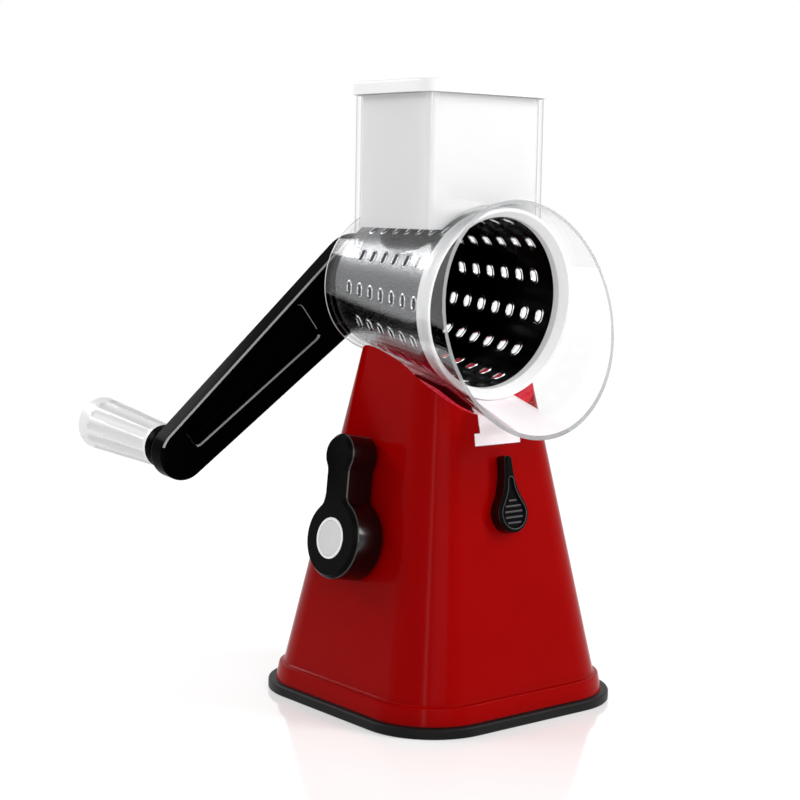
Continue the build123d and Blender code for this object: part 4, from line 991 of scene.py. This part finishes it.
def makePusher():
    (halfX, halfY), radius, wall = pusher["half"], pusher["radius"], pusher["wall"]
    middle, low, high = housing["hopperMiddle"], pusher["low"], pusher["high"]
    body = lofted("pusher", [squareRing(halfX, halfY, radius, level, middle, 8) for level in (low, high)])
    combined(body, drumRoom(pusher["room"]))
    hollow = lofted("hollow", [squareRing(halfX - wall, halfY - wall, radius - wall, level, middle, 8)
                               for level in (low + wall, high + 1)])
    combined(hollow, drumRoom(pusher["room"] + wall))
    combined(body, hollow)
    softened(cleaned(body, 0.02), 0.4, 50)
    finished(body, "pusherBox", "pusher", [frostedPp], ["pusher_body"], 35)

    lidX, lidY = housing["hopperHalf"][0] + pusher["lidOver"], housing["hopperHalf"][1] + pusher["lidOver"]
    corner = housing["hopperRadius"] + pusher["lidOver"]
    top = high + pusher["lidHigh"]

    def outline(inset, level):
        return squareRing(lidX - inset, lidY - inset, corner - inset, level, middle, 10)
    rings = edged(outline, high, top, 0.4, pusher["lidEdge"])
    for inset, drop in pusher["lidDish"]:
        rings.append(outline(inset, top - drop))
    lid = lofted("lid", rings)
    return finished(lid, "pusherLid", "pusher", [whitePlastic], ["pusher_lid"], 35)


makePusher()
print("pusher made")

# ---- materials of the CAD nodes that keep their shape
carried = (
    (blackNylon, "base_plate", "grip_collar", "drum_hub"),
    (blackRubber, "pad_centre", "pad_membrane"),
    (gripPlastic, "grip_cap"),
    (acetal, "stem_guide", "shaft_bush", "suction_stem", "lift_yoke", "lift_cam", "catch_slider", "rear_bush"),
    (platedSteel, "base_screws", "guide_screws", "lift_plate", "stem_spring", "lever_screw", "cam_shaft",
     "cam_screw", "catch_screw", "drive_shaft", "crank_screw", "grip_axle", "grip_screw"),
)
for material, *nodes in carried:
    for node in nodes:
        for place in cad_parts[node].material_slots:
            place.material = material
print("inner parts painted")

# ---- floor, world and lamps
seen = {"ambient": 0.4, "floorColour": "#F2F2F2", "floorLift": 0.26, "floorRough": 0.1, "floorShine": 1.0,
        "floorSize": 8.0}
lamps = {                                                # place, aim, size and watts
    "key": ((0.64, -0.76, 0.7), (0, 0, 0.1), (0.35, 0.8), 8.0),
    "front": ((-0.45, -1.2, 0.6), (0, 0, 0.12), (0.8, 0.8), 3.2),
    "strip": ((-0.9, -0.8, 0.55), (0, 0, 0.13), (0.08, 0.9), 2.3),
    "back": ((-0.6, 0.98, 0.81), (-0.03, 0, 0.18), (1.0, 0.35), 8.0),
}


def seenDirectly(tree):
    # 1 for rays that show the background itself: straight, in a mirror or through clear plastic
    rays = addNode(tree, "ShaderNodeLightPath")
    first = addNode(tree, "ShaderNodeMath", {"operation": "MAXIMUM"}, {0: rays.outputs["Is Camera Ray"],
                                                                      1: rays.outputs["Is Glossy Ray"]})
    return addNode(tree, "ShaderNodeMath", {"operation": "MAXIMUM"}, {0: first.outputs[0],
                                                                     1: rays.outputs["Is Transmission Ray"]})


def makeStudio():
    bpy.ops.object.select_all(action="DESELECT")
    bpy.ops.mesh.primitive_plane_add(size=seen["floorSize"], location=(0, 0, 0))
    floor = bpy.context.object
    floor.name = "floor"
    material, tree = blankMaterial("studio table, white laminate")
    shader = addNode(tree, "ShaderNodeBsdfPrincipled",
                     {"Base Color": hexColour(seen["floorColour"]), "Roughness": seen["floorRough"],
                      "Specular IOR Level": seen["floorShine"]})
    strength = addNode(tree, "ShaderNodeMath", {"operation": "MULTIPLY", 1: seen["floorLift"]},
                       {0: seenDirectly(tree).outputs[0]})
    lift = addNode(tree, "ShaderNodeEmission", {}, {"Strength": strength.outputs[0]})
    both = addNode(tree, "ShaderNodeAddShader", {}, {0: shader.outputs[0], 1: lift.outputs[0]})
    floor.data.materials.append(shown(material, tree, both))

    world = bpy.data.worlds.new("studio")
    bpy.context.scene.world = world
    world.use_nodes = True
    world.node_tree.nodes.clear()
    level = addNode(world.node_tree, "ShaderNodeMapRange", {"To Min": seen["ambient"], "To Max": 1.0},
                    {"Value": seenDirectly(world.node_tree).outputs[0]})
    back = addNode(world.node_tree, "ShaderNodeBackground", {"Color": (1.0, 1.0, 1.0, 1.0)},
                   {"Strength": level.outputs["Result"]})
    addNode(world.node_tree, "ShaderNodeOutputWorld", {}, {"Surface": back.outputs[0]})


def addLamp(name, place, aim, size, power):
    lamp = bpy.data.lights.new(name, "AREA")
    lamp.shape, lamp.size, lamp.size_y, lamp.energy = "RECTANGLE", size[0], size[1], power
    holder = bpy.data.objects.new(name, lamp)
    bpy.context.scene.collection.objects.link(holder)
    holder.location = place
    holder.rotation_euler = (Vector(aim) - Vector(place)).to_track_quat("-Z", "Y").to_euler()


makeStudio()
for name, settings in lamps.items():
    addLamp(name, *settings)

# ---- camera at the picture's place
shot = {"place": (-537.88, -626.79, 231.23), "yaw": 39.24, "pitch": 6.44, "roll": 1.05, "lens": 80.17}


def makeCamera():
    yaw, pitch, roll = (radians(shot[key]) for key in ("yaw", "pitch", "roll"))
    ahead = Vector((sin(yaw) * cos(pitch), cos(yaw) * cos(pitch), -sin(pitch)))
    level = Vector((cos(yaw), -sin(yaw), 0))
    above = level.cross(ahead)
    right = level * cos(roll) + above * sin(roll)
    up = above * cos(roll) - level * sin(roll)
    camera = bpy.data.objects.new("camera", bpy.data.cameras.new("camera"))
    bpy.context.scene.collection.objects.link(camera)
    camera.matrix_world = frameOf(Vector(shot["place"]) * 0.001, right, up, -ahead)
    camera.data.lens, camera.data.sensor_width = shot["lens"], 36.0
    camera.data.clip_end = 20.0
    bpy.context.scene.camera = camera


makeCamera()
bpy.context.scene.view_settings.view_transform = "Standard"
bpy.context.view_layer.update()
print("scene ready")
